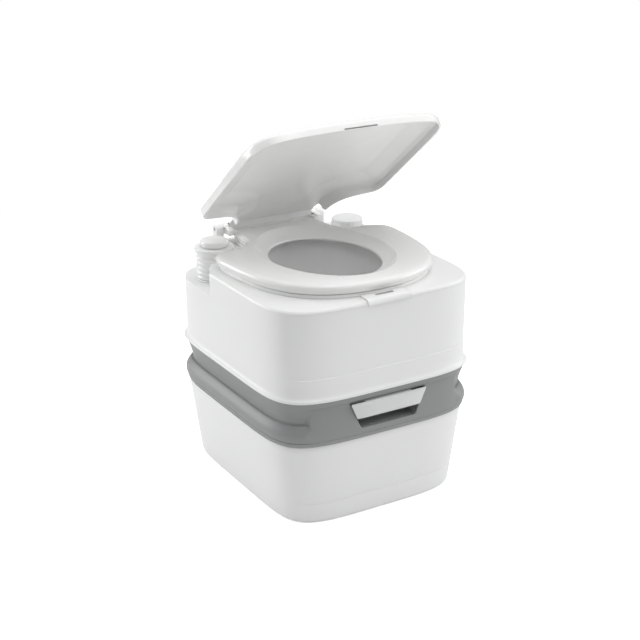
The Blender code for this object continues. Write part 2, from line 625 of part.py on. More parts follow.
def smooth_path(keys, per_span):
    """An open centripetal curve through the key points."""
    padded = np.concatenate([[2 * keys[0] - keys[1]], keys, [2 * keys[-1] - keys[-2]]])
    span = np.sqrt(np.linalg.norm(padded[1:] - padded[:-1], axis=1))[:, None]
    chord = (padded[1:] - padded[:-1]) / span
    slope = (chord[:-1] * span[1:] + chord[1:] * span[:-1]) / (span[1:] + span[:-1])
    points = smooth_spans(keys[:-1], keys[1:], slope[:-1], slope[1:], span[1:-1], per_span)
    return [tuple(map(float, point)) for point in points] + [tuple(map(float, keys[-1]))]


def bellows_profile():
    """Outline of the ribbed bellows and its inside, with four folds."""
    low, high, folds = SHELF_Z + 0.0028, BELLOWS_TOP, 4
    pitch = (high - low - 0.0060) / folds
    outer = [(BELLOWS_R - 0.0010, low), (BELLOWS_R, low + 0.0020)]
    for fold in range(folds):
        base = low + 0.0030 + fold * pitch
        outer += [(BELLOWS_R - 0.0035, base + pitch * 0.35), (BELLOWS_R, base + pitch * 0.85)]
    outer += [(BELLOWS_R - 0.0006, high - 0.0010), (BELLOWS_R - 0.0030, high)]
    return outer


def build_pump(materials):
    """Bellows flush pump: base collar, bellows and push knob."""
    centre = (PUMP_X, PUMP_Y)
    collar = turned_bmesh(((0.0060, SHELF_Z + GAP), (0.0335, SHELF_Z + GAP), (0.0335, SHELF_Z + 0.0016),
                           (0.0325, SHELF_Z + 0.0025), (0.0060, SHELF_Z + 0.0025)), centre, 24)
    make_object("pump_base", collar, materials["white"])
    stub = turned_bmesh(((0.0035, 0.3185), (0.0095, 0.3185), (0.0095, SHELF_Z), (0.0035, SHELF_Z)),
                        centre, 24)
    make_object("pump_stub", stub, materials["light_grey"])
    outer = bellows_profile()
    inner = [(radius - 0.0016, z) for radius, z in outer[::-1]]
    inner[0] = (BELLOWS_R - 0.0046, BELLOWS_TOP)
    bellows = make_object("pump_bellows", turned_bmesh(outer + inner, centre, 24), materials["white"],
                          (PUMP_X, PUMP_Y, SHELF_Z))
    knob = turned_solid_bmesh(((0.0235, BELLOWS_TOP + GAP), (KNOB_R, BELLOWS_TOP + 0.0030),
                               (KNOB_R, KNOB_TOP - 0.0050), (0.0215, KNOB_TOP - 0.0018),
                               (0.0120, KNOB_TOP - 0.0003), (0.0040, KNOB_TOP)), centre, 32)
    make_object("pump_knob", knob, materials["white"], (PUMP_X, PUMP_Y, BELLOWS_TOP))
    return bellows


def build_fill_port(materials):
    """Fill neck, its seal and the round cap on the rear right corner."""
    centre = (CAP_X, CAP_Y)
    neck = turned_bmesh(((0.0165, 0.3640), (0.0200, 0.3640), (0.0200, TANK_TOP + GAP),
                         (0.0235, TANK_TOP + GAP), (0.0235, 0.3790), (0.0210, 0.3790), (0.0210, 0.3870),
                         (0.0165, 0.3870)), centre, 24)
    make_object("fill_neck", neck, materials["light_grey"])
    seal = turned_bmesh(((0.0165, 0.3873), (0.0210, 0.3873), (0.0210, 0.3890), (0.0165, 0.3890)),
                        centre, 24)
    make_object("fill_cap_seal", seal, materials["rubber"])
    cap = turned_solid_bmesh(((0.0225, 0.3893), (0.0225, 0.3800), (CAP_R, 0.3800), (CAP_R, 0.3890),
                              (CAP_R - 0.0015, 0.3915), (CAP_R - 0.0060, 0.3938), (0.0140, CAP_TOP)),
                             centre, 28)
    make_object("fill_cap", cap, materials["white"], (CAP_X, CAP_Y, 0.3893))


def build_latches(materials):
    """Lid catch plate at the front and the tank latch with its pin at the back."""
    plate = box_bmesh((-0.040, -0.2010, TANK_TOP + GAP), (0.040, -0.1805, TANK_TOP + 0.0028))
    plate = make_object("catch_plate", plate, materials["white"])
    slot = box_bmesh((-0.0170, -0.1930, 0.370), (0.0170, -0.1855, 0.385))
    cut(plate, make_object("plate_slot_tool", slot, None))

    lever = box_bmesh((-LATCH_HALF_X, LATCH_Y[0], 0.2125), (LATCH_HALF_X, LATCH_Y[1], LATCH_PIN_Z + 0.0020))
    lever = make_object("tank_latch", lever, materials["grey"], (0.0, LATCH_PIN_Y, LATCH_PIN_Z))
    bore = cylinder_bmesh((-0.040, LATCH_PIN_Y, LATCH_PIN_Z), (0.040, LATCH_PIN_Y, LATCH_PIN_Z),
                          LATCH_PIN_R + 0.0003, 12)
    cut(lever, make_object("latch_bore_tool", bore, None))
    pin = cylinder_bmesh((-LATCH_HALF_X - 0.0034, LATCH_PIN_Y, LATCH_PIN_Z),
                         (LATCH_HALF_X + 0.0034, LATCH_PIN_Y, LATCH_PIN_Z), LATCH_PIN_R, 12)
    make_object("latch_pin", pin, materials["steel"], (0.0, LATCH_PIN_Y, LATCH_PIN_Z))


# ---- seat and lid -------------------------------------------------------------------
def build_seat(materials, axis):
    """Seat ring with a broad inward bevel, hollow underneath, and two rear hinge ears."""
    line = smooth_outline(SEAT_HALF)

    def oval(half, z):
        return at_height(ellipse_like(line, half, OPENING_Y), z)

    rings = [
        at_height(shrink(line, 0.0080), SEAT_BOTTOM), at_height(inset(line, 0.0025), 0.3865),
        at_height(line, 0.3915), at_height(inset(line, 0.0020), 0.3962),
        at_height(shrink(line, 0.0075), 0.3990),
        oval(CREST_HALF, SEAT_TOP), oval((CREST_HALF[0] - 0.003, CREST_HALF[1] - 0.003), 0.3982),
        oval((HOLE_HALF[0] + 0.001, HOLE_HALF[1] + 0.001), 0.3860), oval(HOLE_HALF, SEAT_BOTTOM),
        oval((HOLE_HALF[0] + 0.003, HOLE_HALF[1] + 0.003), SEAT_BOTTOM),
        oval((CREST_HALF[0] - 0.002, CREST_HALF[1] - 0.002), 0.3950),
        at_height(shrink(line, 0.0120), 0.3950), at_height(shrink(line, 0.0110), SEAT_BOTTOM)]
    ring = rings_to_bmesh(rings, closed_loop=True)
    seat = make_object("seat", ring, materials["white"], axis.location, axis)
    for side in (-1, 1):
        near, far = sorted((side * EAR_SPAN[0], side * EAR_SPAN[1]))
        barrel = cylinder_bmesh((near, HINGE_Y, HINGE_Z), (far, HINGE_Y, HINGE_Z), HINGE_R, 24)
        join(seat, make_object(f"ear_tool_{near:.2f}", barrel, None, axis.location, axis))
        web = box_bmesh((near, 0.1560, 0.3960), (far, HINGE_Y, 0.4060))
        join(seat, make_object(f"ear_web_tool_{near:.2f}", web, None, axis.location, axis))
        near, far = sorted((side * EAR_ARM_X, side * EAR_SPAN[1]))
        arm = box_bmesh((near, 0.1560, 0.3930), (far, 0.1735, 0.4020))
        join(seat, make_object(f"ear_arm_tool_{near:.2f}", arm, None, axis.location, axis))
    bore = cylinder_bmesh((-0.140, HINGE_Y, HINGE_Z), (0.140, HINGE_Y, HINGE_Z), PIN_R + 0.0004, 16)
    cut(seat, make_object("seat_bore_tool", bore, None, axis.location, axis))

    places = ((-0.1420, 0.020), (0.1420, 0.020), (-0.090, -0.1385), (0.090, -0.1385))
    for number, (x, y) in enumerate(places, 1):
        pad = cylinder_bmesh((x, y, PLATFORM_TOP + GAP), (x, y, 0.3950 - GAP), 0.0055, 16)
        make_object(f"seat_bumper_{number}", pad, materials["rubber"], axis.location, axis)
    return seat


def eased(limits, value):
    """Rise from 0 to 1 between two limits along a cubic S."""
    share = np.clip((value - limits[0]) / (limits[1] - limits[0]), 0, 1)
    return share * share * (3 - 2 * share)


def build_lid(materials, axis):
    """Lid: a crowned shell with a rim, an S-shaped narrowing to its hinge, and a catch."""
    line = smooth_outline(LID_HALF)
    neck = eased(LID_NECK_Y, line[:, 1])
    rise = eased(LID_RISE_Y, line[:, 1])

    def shrunk(distance, z):
        return at_height(shrink(line, distance), z)

    rim_low = 0.3847 + neck * 0.0188
    rings = [
        shrunk(0.1300, 0.4107), shrunk(0.0800, 0.4092), shrunk(0.0300, 0.4058),
        shrunk(0.0120, 0.4012 + rise * 0.0024), at_height(inset(line, 0.0052), 0.3975 + neck * 0.0062),
        at_height(inset(line, 0.0034), 0.3940 + neck * 0.0099),
        at_height(inset(line, 0.0030), rim_low), at_height(line, rim_low),
        at_height(line, 0.3950 + neck * 0.0090), at_height(inset(line, 0.0012), 0.3990 + neck * 0.0058),
        shrunk(0.0050, 0.4016 + rise * 0.0042), shrunk(0.0200, 0.4050 + rise * 0.0028),
        shrunk(0.0600, 0.4108), shrunk(0.1100, 0.4132), shrunk(0.1550, 0.4138)]
    lid = make_object("lid", rings_to_bmesh(rings), materials["white"], axis.location, axis)
    barrel = cylinder_bmesh((-LID_BARREL_X, HINGE_Y, HINGE_Z), (LID_BARREL_X, HINGE_Y, HINGE_Z), HINGE_R, 24)
    join(lid, make_object("lid_barrel_tool", barrel, None, axis.location, axis))
    bore = cylinder_bmesh((-0.140, HINGE_Y, HINGE_Z), (0.140, HINGE_Y, HINGE_Z), PIN_R + 0.0004, 16)
    cut(lid, make_object("lid_bore_tool", bore, None, axis.location, axis))

    window = box_bmesh((-0.0305, -0.1950, 0.3853), (0.0305, -0.1885, 0.3881))
    cut(lid, make_object("lid_window_tool", window, None, axis.location, axis))
    strip = box_bmesh((-0.0302, -0.1919, 0.3856), (0.0302, -0.1902, 0.3878))
    make_object("lid_catch", strip, materials["light_grey"], axis.location, axis)
    return lid


def build_hinge_pins(materials):
    """Two steel pins that carry the seat and the lid."""
    for name, side in (("hinge_pin_left", -1), ("hinge_pin_right", 1)):
        pin = cylinder_bmesh((side * 0.0500, HINGE_Y, HINGE_Z), (side * 0.1100, HINGE_Y, HINGE_Z),
                             PIN_R, 16)
        make_object(name, pin, materials["steel"], (0.0, HINGE_Y, HINGE_Z))


def main():
    """Build the whole object."""
    clear_scene()
    materials = make_materials()
    build_waste_tank_shell(materials)
    build_waste_tank_top(materials)
    build_valve(materials)
    build_spout(materials)
    build_vent(materials)
    build_flush_tank(materials)
    build_bowl(materials)
    build_flush_line(materials)
    build_pump(materials)
    build_fill_port(materials)
    build_latches(materials)
    build_hinge_pins(materials)
    seat_axis = make_axis("seat_axis", (0.0, HINGE_Y, HINGE_Z))
    build_seat(materials, seat_axis)
    lid_axis = make_axis("lid_axis", (0.0, HINGE_Y, HINGE_Z))
    build_lid(materials, lid_axis)
    lid_axis.rotation_euler = (-LID_OPEN, 0.0, 0.0)


main()
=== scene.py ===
"""Finished looks for the portable camp toilet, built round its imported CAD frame.

Every visible moulding is a surface worked out on a grid with numpy, in metres, in the frame of
the CAD model. It stands for its CAD node and wears a procedural plastic, rubber or steel finish.
"""

import logging
import math
from collections.abc import Callable, Sequence
from dataclasses import dataclass
from enum import Enum
from functools import cache

import bpy
import numpy as np
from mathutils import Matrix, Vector

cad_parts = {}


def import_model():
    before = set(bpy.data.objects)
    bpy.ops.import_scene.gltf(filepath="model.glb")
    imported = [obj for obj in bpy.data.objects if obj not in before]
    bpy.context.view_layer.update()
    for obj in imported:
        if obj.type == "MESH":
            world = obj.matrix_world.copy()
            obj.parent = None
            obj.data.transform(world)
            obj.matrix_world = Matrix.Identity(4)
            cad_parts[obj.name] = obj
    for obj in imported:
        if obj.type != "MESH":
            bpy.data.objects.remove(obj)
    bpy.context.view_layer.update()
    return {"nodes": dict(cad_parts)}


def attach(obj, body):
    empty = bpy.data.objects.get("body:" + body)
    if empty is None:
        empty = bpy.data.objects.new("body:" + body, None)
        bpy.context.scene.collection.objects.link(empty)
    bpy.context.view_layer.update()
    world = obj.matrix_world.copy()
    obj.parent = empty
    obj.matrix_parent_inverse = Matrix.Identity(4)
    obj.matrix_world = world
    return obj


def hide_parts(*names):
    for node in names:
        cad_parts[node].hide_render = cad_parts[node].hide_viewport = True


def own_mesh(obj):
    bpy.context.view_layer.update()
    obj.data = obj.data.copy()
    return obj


LOG = logging.getLogger("camp_toilet")

Array = np.ndarray
Point = tuple[float, float, float]
Pairs = Sequence[tuple[float, ...]]
Piece = bpy.types.Object
Tree = bpy.types.NodeTree
Node = bpy.types.Node
Socket = bpy.types.NodeSocket
Sockets = bpy.types.bpy_prop_collection

STATIONS = 360
DENSE = 4096
GAP = 0.0003
WALL = 0.003
ROUND_STEPS = 5
SHARP_ANGLE = math.radians(38.0)

RIM_HALF = (0.1915, 0.2135)
RIM_POWER = (4.4, 6.6)
JOIN_Z = 0.1460
RIM_BOTTOM = 0.2233
TANK_TOP = 0.3757
DECK_TOP = 0.2130
DECK_BOTTOM = 0.2100
FLUSH_FLOOR = 0.2172
OUTLET = (0.0, -0.020)
MIDDLE = np.array((0.0, -0.020))
OUTLET_R = 0.043
PLATFORM_TOP = 0.3815
HINGE_Y = 0.183
HINGE_Z = 0.401
HINGE_R = 0.0085
BORE_R = 0.0034
OPENING_Y = -0.008
LID_OPEN = math.radians(39.2)

SEAT_HALF = (
    (0.0, -0.1855), (0.043, -0.1820), (0.079, -0.1715), (0.112, -0.1525), (0.138, -0.1245),
    (0.157, -0.0860), (0.168, -0.035), (0.1725, 0.012), (0.1735, 0.040), (0.168, 0.0625),
    (0.150, 0.0745), (0.122, 0.0785), (0.1010, 0.0875), (0.0885, 0.1040), (0.0835, 0.1250),
    (0.0825, 0.1430), (0.0820, 0.1600), (0.0795, 0.1690), (0.0720, 0.1720), (0.040, 0.1720),
    (0.0, 0.1720))
LID_HALF = (
    (0.0, -0.1930), (0.060, -0.1918), (0.115, -0.1872), (0.1500, -0.1775), (0.1688, -0.1600),
    (0.1765, -0.1350), (0.178, -0.0900), (0.178, -0.030), (0.178, 0.0450), (0.1768, 0.0720),
    (0.1680, 0.0850), (0.1520, 0.0885), (0.1260, 0.0925), (0.1060, 0.1020), (0.0950, 0.1180),
    (0.0910, 0.1340), (0.0888, 0.1440), (0.0840, 0.1520), (0.0828, 0.1600), (0.0828, 0.1690),
    (0.0800, 0.1765), (0.0710, 0.1800), (0.035, 0.1800), (0.0, 0.1800))
FLANGE_INSET = 0.0055


class Body(Enum):
    """The CAD bodies that pieces ride on."""

    WASTE_TANK = "waste_tank"
    VALVE = "valve"
    POUR_SPOUT = "pour_spout"
    SPOUT_CAP = "spout_cap"
    VENT_BUTTON = "vent_button"
    FLUSH_TANK = "flush_tank"
    TANK_LATCH = "tank_latch"
    PUMP_KNOB = "pump_knob"
    FILL_CAP = "fill_cap"
    SEAT = "seat"
    LID = "lid"


class Carve(Enum):
    """What a hidden tool does to a moulding."""

    CUT = "DIFFERENCE"
    ADD = "UNION"


class Along(Enum):
    """The axis that an outline is carried along or a profile is turned about."""

    X = "x"
    Y = "y"
    Z = "z"


# ---- curves -------------------------------------------------------------------------
def cubic(t: Array, start: Array, end: Array, leave: Array, arrive: Array) -> Array:
    """Join start to end by the cubic Hermite curve whose slopes at t = 0 and 1 are leave and arrive."""
    return (start * (2 * t ** 3 - 3 * t ** 2 + 1) + leave * (t ** 3 - 2 * t ** 2 + t)
            + end * (3 * t ** 2 - 2 * t ** 3) + arrive * (t ** 3 - t ** 2))


def flowing(keys: Pairs, at: Array) -> Array:
    """Run a smooth curve through (place, value, ...) keys without overshoot.

    Each key's slope is the weighted harmonic mean of the chords beside it, or nothing where
    they change sign, and cubic Hermite pieces join the keys.

    Args:
        keys: Rows of a place and one or more values, by rising place.
        at: Places to read.

    Returns:
        The values at each place, one column for each value.
    """
    table = np.array(keys, float)
    place, value = table[:, 0], table[:, 1:]
    step = np.diff(place)[:, None]
    chord = np.diff(value, axis=0) / step
    slope = np.zeros_like(value)
    slope[0], slope[-1] = chord[0], chord[-1]
    same = chord[:-1] * chord[1:] > 0
    before, after = np.where(same, chord[:-1], 1.0), np.where(same, chord[1:], 1.0)
    near, far = 2 * step[1:] + step[:-1], step[1:] + 2 * step[:-1]
    slope[1:-1] = np.where(same, (near + far) / (near / before + far / after), 0.0)
    i = np.clip(np.searchsorted(place, at, side="right") - 1, 0, len(step) - 1)
    t = np.clip((at - place[i])[:, None] / step[i], 0.0, 1.0)
    return cubic(t, value[i], value[i + 1], slope[i] * step[i], slope[i + 1] * step[i])


def profile_through(keys: Pairs, steps: int) -> Array:
    """Refine the rows of a profile, with the same number of steps between all of them.

    Args:
        keys: Rows of values along the profile.
        steps: New rows for each old one.

    Returns:
        The refined rows.
    """
    rows = [(float(i), *row) for i, row in enumerate(keys)]
    return flowing(rows, np.linspace(0.0, len(rows) - 1.0, (len(rows) - 1) * steps + 1))


def ease(low: float, high: float, value: Array) -> Array:
    """Rise from 0 at low to 1 at high along a cubic S."""
    t = np.clip((value - low) / (high - low), 0.0, 1.0)
    return t * t * (3 - 2 * t)


def outline_normals(points: Array) -> Array:
    """Outward unit normals of a closed anticlockwise outline, square to its neighbours' chord."""
    along = np.roll(points, -1, axis=0) - np.roll(points, 1, axis=0)
    along /= np.linalg.norm(along, axis=1)[:, None]
    return np.stack([along[:, 1], -along[:, 0]], axis=1)


def inset(points: Array, distance: float | Array) -> Array:
    """Move an outline's points inwards along their normals."""
    return points - outline_normals(points) * np.reshape(distance, (-1, 1))


def shrink(points: Array, distance: float) -> Array:
    """Scale an outline towards its middle until its widest sides have moved in by a distance."""
    return MIDDLE + (points - MIDDLE) * (1 - distance / (np.ptp(points, axis=0) / 2))


def even(points: Array) -> Array:
    """Space a closed outline's points evenly, by reading it back at equal steps of its run."""
    loop = np.concatenate([points, points[:1]])
    run = np.concatenate([[0.0], np.cumsum(np.linalg.norm(np.diff(loop, axis=0), axis=1))])
    at = np.linspace(0.0, run[-1], STATIONS, endpoint=False)
    return np.stack([np.interp(at, run, loop[:, 0]), np.interp(at, run, loop[:, 1])], axis=1)


def superellipse(half: tuple[float, float]) -> Array:
    """Draw a superellipse: each axis is its half size times the cosine or sine to 2 / power."""
    turn = (np.arange(DENSE) + 0.5) * 2 * np.pi / DENSE
    cosine, sine = np.cos(turn), np.sin(turn)
    x = half[0] * np.sign(cosine) * np.abs(cosine) ** (2 / RIM_POWER[0])
    y = half[1] * np.sign(sine) * np.abs(sine) ** (2 / RIM_POWER[1])
    return even(np.stack([x, y], axis=1))


def hermite(keys: Array, closed: bool, per_span: int) -> Array:
    """Run a centripetal curve through key points.

    Spans last as long as the square root of their chord, each slope is the mean of the chords
    beside a key, weighted by the other's span, and cubic Hermite pieces join the keys.

    Args:
        keys: Key points, one row each.
        closed: Whether the last key runs on into the first.
        per_span: Points on each span.

    Returns:
        The dense curve.
    """
    if not closed:
        keys = np.concatenate([[2 * keys[0] - keys[1]], keys, [2 * keys[-1] - keys[-2]]])
    after = np.roll(keys, -1, 0)
    span = np.sqrt(np.linalg.norm(after - keys, axis=1))[:, None]
    chord = (after - keys) / span
    span_before, chord_before = np.roll(span, 1, 0), np.roll(chord, 1, 0)
    slope = (chord_before * span + chord * span_before) / (span + span_before)
    t = np.linspace(0.0, 1.0, per_span, endpoint=False)[None, :, None]
    leave, arrive = slope * span, np.roll(slope, -1, 0) * span
    curve = cubic(t, keys[:, None], after[:, None], leave[:, None], arrive[:, None])
    return curve.reshape(-1, keys.shape[1]) if closed else curve[1:-2].reshape(-1, keys.shape[1])


def mirrored(half_points: Pairs) -> Array:
    """Mirror a half outline and run an even closed curve through it, anticlockwise."""
    right = np.array(half_points)
    keys = np.concatenate([right, right[-2:0:-1] * (-1, 1)])
    return even(hermite(keys, True, 24))


def facing(outline: Array, half: Sequence[float], centre_y: float) -> Array:
    """Read an ellipse in the direction of each point of an outline.

    Args:
        outline: The outline whose directions are used.
        half: Half width and half depth of the ellipse.
        centre_y: Middle of the ellipse in y.

    Returns:
        One point of the ellipse for each point of the outline.
    """
    offset = outline - (0.0, centre_y)
    angle = np.arctan2(offset[:, 1] / half[1], offset[:, 0] / half[0])
    return np.stack([half[0] * np.cos(angle), centre_y + half[1] * np.sin(angle)], axis=1)


def rounded(corners: Pairs, radius: float | Sequence[float], closed: bool = True,
            steps: int = ROUND_STEPS) -> Array:
    """Round the corners of a polygon or a chain with a quadratic curve from side to side.

    Args:
        corners: Corner points in order.
        radius: How far from each corner its rounding starts, at most 0.45 of either side.
        closed: Whether the last corner joins the first; the ends of a chain stay as they are.
        steps: Pieces in each rounding.

    Returns:
        The rounded outline.
    """
    corner = np.array(corners, float)
    back, ahead = np.roll(corner, 1, 0) - corner, np.roll(corner, -1, 0) - corner
    back_run, ahead_run = np.linalg.norm(back, axis=1), np.linalg.norm(ahead, axis=1)
    reach = np.minimum(np.broadcast_to(radius, len(corner)), 0.45 * np.minimum(back_run, ahead_run))
    start = corner + back * (reach / back_run)[:, None]
    end = corner + ahead * (reach / ahead_run)[:, None]
    t = np.linspace(0.0, 1.0, steps + 1)[None, :, None]
    curve = (1 - t) ** 2 * start[:, None] + 2 * t * (1 - t) * corner[:, None] + t ** 2 * end[:, None]
    if closed:
        return curve.reshape(-1, 2)
    return np.concatenate([corner[:1], curve[1:-1].reshape(-1, 2), corner[-1:]])


def placed(first: Array, second: Array, run: Array, along: Along) -> Array:
    """Gather two coordinates across an axis, and the run along it, into points in space."""
    order = {Along.Z: (first, second, run), Along.Y: (first, run, second), Along.X: (run, first, second)}
    return np.stack(order[along], axis=-1)


def lifted(outline: Array, height: float | Array, along: Along = Along.Z) -> Array:
    """Give a flat outline its place along an axis.

    Args:
        outline: Points (x, y) for Z, (x, z) for Y or (y, z) for X.
        height: Place along the axis, for all points or for each.
        along: The axis.

    Returns:
        Points in space.
    """
    return placed(outline[:, 0], outline[:, 1], np.broadcast_to(height, len(outline)), along)


def courses(outline: Array, rows: Sequence[tuple[float, float | Array]],
            move: Callable[[Array, float], Array] = inset) -> list[Array]:
    """Lay an outline at each (distance, height) row, moved in by the distance."""
    return [lifted(move(outline, distance), height) for distance, height in rows]


def with_heights(points: Array, z: Array) -> Array:
    """Give flat points, by ring and station, each ring's height."""
    return np.concatenate([points, np.broadcast_to(z[:, None, None], (*points.shape[:2], 1))], axis=-1)


def hinge_arc(start: float, count: int) -> Array:
    """Draw the hinge barrel's side view from a turn to half a turn, as (y, z) rows."""
    turn = np.linspace(start, np.pi, count)
    return np.stack([HINGE_Y + HINGE_R * np.cos(turn), HINGE_Z + HINGE_R * np.sin(turn)], axis=1)


# ---- meshes -------------------------------------------------------------------------
def new_piece(name: str, points: Array, faces: list[list[int]]) -> Piece:
    """Make a mesh object from points and faces, and link it to the scene."""
    mesh = bpy.data.meshes.new(name)
    mesh.from_pydata(points.tolist(), [], faces)
    item = bpy.data.objects.new(name, mesh)
    bpy.context.scene.collection.objects.link(item)
    return item


def points_of(mesh: bpy.types.Mesh) -> Array:
    """Read a mesh's points as rows."""
    flat = np.zeros(len(mesh.vertices) * 3)
    mesh.vertices.foreach_get("co", flat)
    return flat.reshape(-1, 3)


def skin(name: str, rings: Array, loop: bool = False) -> Piece:
    """Skin a grid of rings into one closed solid whose faces point outwards.

    Neighbouring rings are joined by quads. The last ring joins the first on a loop; otherwise
    each end is closed by a fan to its middle. The sign of the enclosed volume, the sum over
    triangles of a . (b x c), says which way round the faces go.

    Args:
        name: Name of the new object.
        rings: Points by ring and station.
        loop: Whether the rings close on themselves.

    Returns:
        The new object, linked to the scene.
    """
    rows, count = rings.shape[:2]
    spans = np.arange(rows if loop else rows - 1)[:, None]
    station = np.arange(count)[None, :]
    ahead, above = (station + 1) % count, (spans + 1) % rows
    quads = np.stack([spans * count + station, spans * count + ahead, above * count + ahead,
                      above * count + station], axis=-1).reshape(-1, 4)
    points = rings.reshape(-1, 3)
    fans = np.zeros((0, 3), int)
    if not loop:
        low, high = len(points), len(points) + 1
        top = (rows - 1) * count
        station, ahead = station[0], ahead[0]
        fans = np.concatenate([
            np.stack([ahead, station, np.full(count, low)], axis=1),
            np.stack([top + station, top + ahead, np.full(count, high)], axis=1)])
        points = np.concatenate([points, [rings[0].mean(0), rings[-1].mean(0)]])
    corners = np.concatenate([quads[:, [0, 1, 2]], quads[:, [0, 2, 3]], fans])
    a, b, c = (points[corners[:, k]] for k in range(3))
    if np.sum(a * np.cross(b, c)) < 0:
        quads, fans = quads[:, ::-1], fans[:, ::-1]
    return new_piece(name, points, quads.tolist() + fans.tolist())


def slab(name: str, outline: Array, low: float, high: float, edge: float = 0.0,
         along: Along = Along.Z) -> Piece:
    """Carry an outline along an axis, with both its end edges rounded to a quarter circle.

    Args:
        name: Name of the new object.
        outline: Closed outline.
        low: Where it starts.
        high: Where it ends.
        edge: Radius of the end edges.
        along: The axis.

    Returns:
        The new object.
    """
    if edge <= 0:
        return skin(name, np.stack([lifted(outline, low, along), lifted(outline, high, along)]))
    turn = np.linspace(0.0, np.pi / 2, ROUND_STEPS + 1)
    deep, rise = edge * (1 - np.sin(turn)), edge * (1 - np.cos(turn))
    starts = [lifted(inset(outline, d), low + r, along) for d, r in zip(deep, rise)]
    ends = [lifted(inset(outline, d), high - r, along) for d, r in zip(deep[::-1], rise[::-1])]
    return skin(name, np.stack(starts + ends))


def block(name: str, low: Point, high: Point, edge: float = 0.0, along: Along = Along.Z) -> Piece:
    """Make a box between two corners, with rounded edges if edge is given.

    Args:
        name: Name of the new object.
        low: Lowest corner.
        high: Highest corner.
        edge: Radius of its edges.
        along: The axis that its outline is carried along.

    Returns:
        The new object.
    """
    kept = {Along.X: (1, 2, 0), Along.Y: (0, 2, 1), Along.Z: (0, 1, 2)}[along]
    (a, b, c), (d, e, f) = ([corner[k] for k in kept] for corner in (low, high))
    corners = ((a, b), (d, b), (d, e), (a, e))
    outline = rounded(corners, edge * 1.6) if edge > 0 else np.array(corners)
    return slab(name, outline, c, f, edge, along)


def turned(name: str, profile: Array, centre: Point, along: Along = Along.Z, sides: int = 96,
           loop: bool = False, ripple: Callable[[Array, Array, Array], Array] | None = None) -> Piece:
    """Turn a (radius, run) profile about an axis through a point.

    Args:
        name: Name of the new object.
        profile: Rows of radius and place along the axis.
        centre: A point on the axis; the place along it counts from there.
        along: The axis.
        sides: Stations round the axis.
        loop: Whether the profile closes on itself, as for a ring.
        ripple: A change of radius from the turn, the place along the axis and the radius.

    Returns:
        The new object.
    """
    turn = (np.arange(sides) + 0.5) * 2 * np.pi / sides
    radius, run = profile[:, 0][:, None], profile[:, 1][:, None]
    if ripple is not None:
        radius = radius + ripple(turn[None, :], run, radius)
    first, second = radius * np.cos(turn), radius * np.sin(turn)
    points = placed(first, second, np.broadcast_to(run, first.shape), along)
    return skin(name, points + np.array(centre), loop)


def dense(chain: Array, spacing: float) -> Array:
    """Add points to a chain, at even steps of its run, and keep its own.

    Args:
        chain: The chain's points.
        spacing: Largest step.

    Returns:
        The denser chain.
    """
    run = np.concatenate([[0.0], np.cumsum(np.linalg.norm(np.diff(chain, axis=0), axis=1))])
    at = np.unique(np.concatenate([run, np.arange(0.0, run[-1], spacing)]))
    at = at[np.concatenate([[True], np.diff(at) > 1e-6])]
    return np.stack([np.interp(at, run, chain[:, 0]), np.interp(at, run, chain[:, 1])], axis=1)


def ribs(count: int, height: float, least_radius: float, ends: tuple[float, float]
         ) -> Callable[[Array, Array, Array], Array]:
    """Make grip ribs for a turned side: a clipped cosine round the turn, faded out at both ends.

    Args:
        count: Ribs round the turn.
        height: How deep the valleys between them are.
        least_radius: Points nearer to the axis keep their radius.
        ends: Where the ribs begin and end along the axis.

    Returns:
        The change of radius, for turned().
    """
    def ripple(turn: Array, run: Array, radius: Array) -> Array:
        """Lower the valleys of the outer side."""
        wave = np.clip(np.cos(count * turn) * 1.8, -1.0, 1.0)
        inside = ease(ends[0] - 0.0008, ends[0], run) * ease(ends[1] + 0.0008, ends[1], run)
        return 0.5 * height * (wave - 1.0) * inside * (radius > least_radius)
    return ripple


def rod(name: str, start: Point, run: float, radius: float, along: Along = Along.Z,
        sides: int = 64) -> Piece:
    """Make a plain round bar from a point along an axis."""
    return turned(name, np.array(((radius, 0.0), (radius, run))), start, along, sides)


def hinge_bore() -> Piece:
    """Make the tool for the bore that the hinge pins lie in."""
    return rod("hinge_bore", (-0.140, HINGE_Y, HINGE_Z), 0.280, BORE_R, Along.X, 32)


def joined(name: str, parts: Sequence[Piece]) -> Piece:
    """Gather solids that don't touch into one tool.

    Args:
        name: Name of the new object.
        parts: Solids to gather, which are used up.

    Returns:
        The one object that holds them all.
    """
    points, faces, first = [], [], 0
    for part in parts:
        points.append(points_of(part.data))
        faces += [[first + v for v in face.vertices] for face in part.data.polygons]
        first += len(points[-1])
        bpy.data.objects.remove(part, do_unlink=True)
    return new_piece(name, np.concatenate(points), faces)


def carve(item: Piece, how: Carve, *tools: Piece) -> Piece:
    """Cut tools out of a solid, or add them to it, and keep the result as its plain mesh.

    Args:
        item: The solid that is changed.
        how: Whether the tools are cut out or added.
        tools: Closed solids that don't touch each other, which are used up.

    Returns:
        The changed solid.
    """
    tool = joined(f"{item.name}_tool", tools) if len(tools) > 1 else tools[0]
    modifier = item.modifiers.new("carve", "BOOLEAN")
    modifier.operation = how.value
    modifier.solver = "MANIFOLD"
    modifier.object = tool
    bpy.context.view_layer.update()
    result = bpy.data.meshes.new_from_object(item.evaluated_get(bpy.context.evaluated_depsgraph_get()))
    item.modifiers.clear()
    spent = item.data
    item.data = result
    bpy.data.meshes.remove(spent)
    bpy.data.objects.remove(tool, do_unlink=True)
    return item


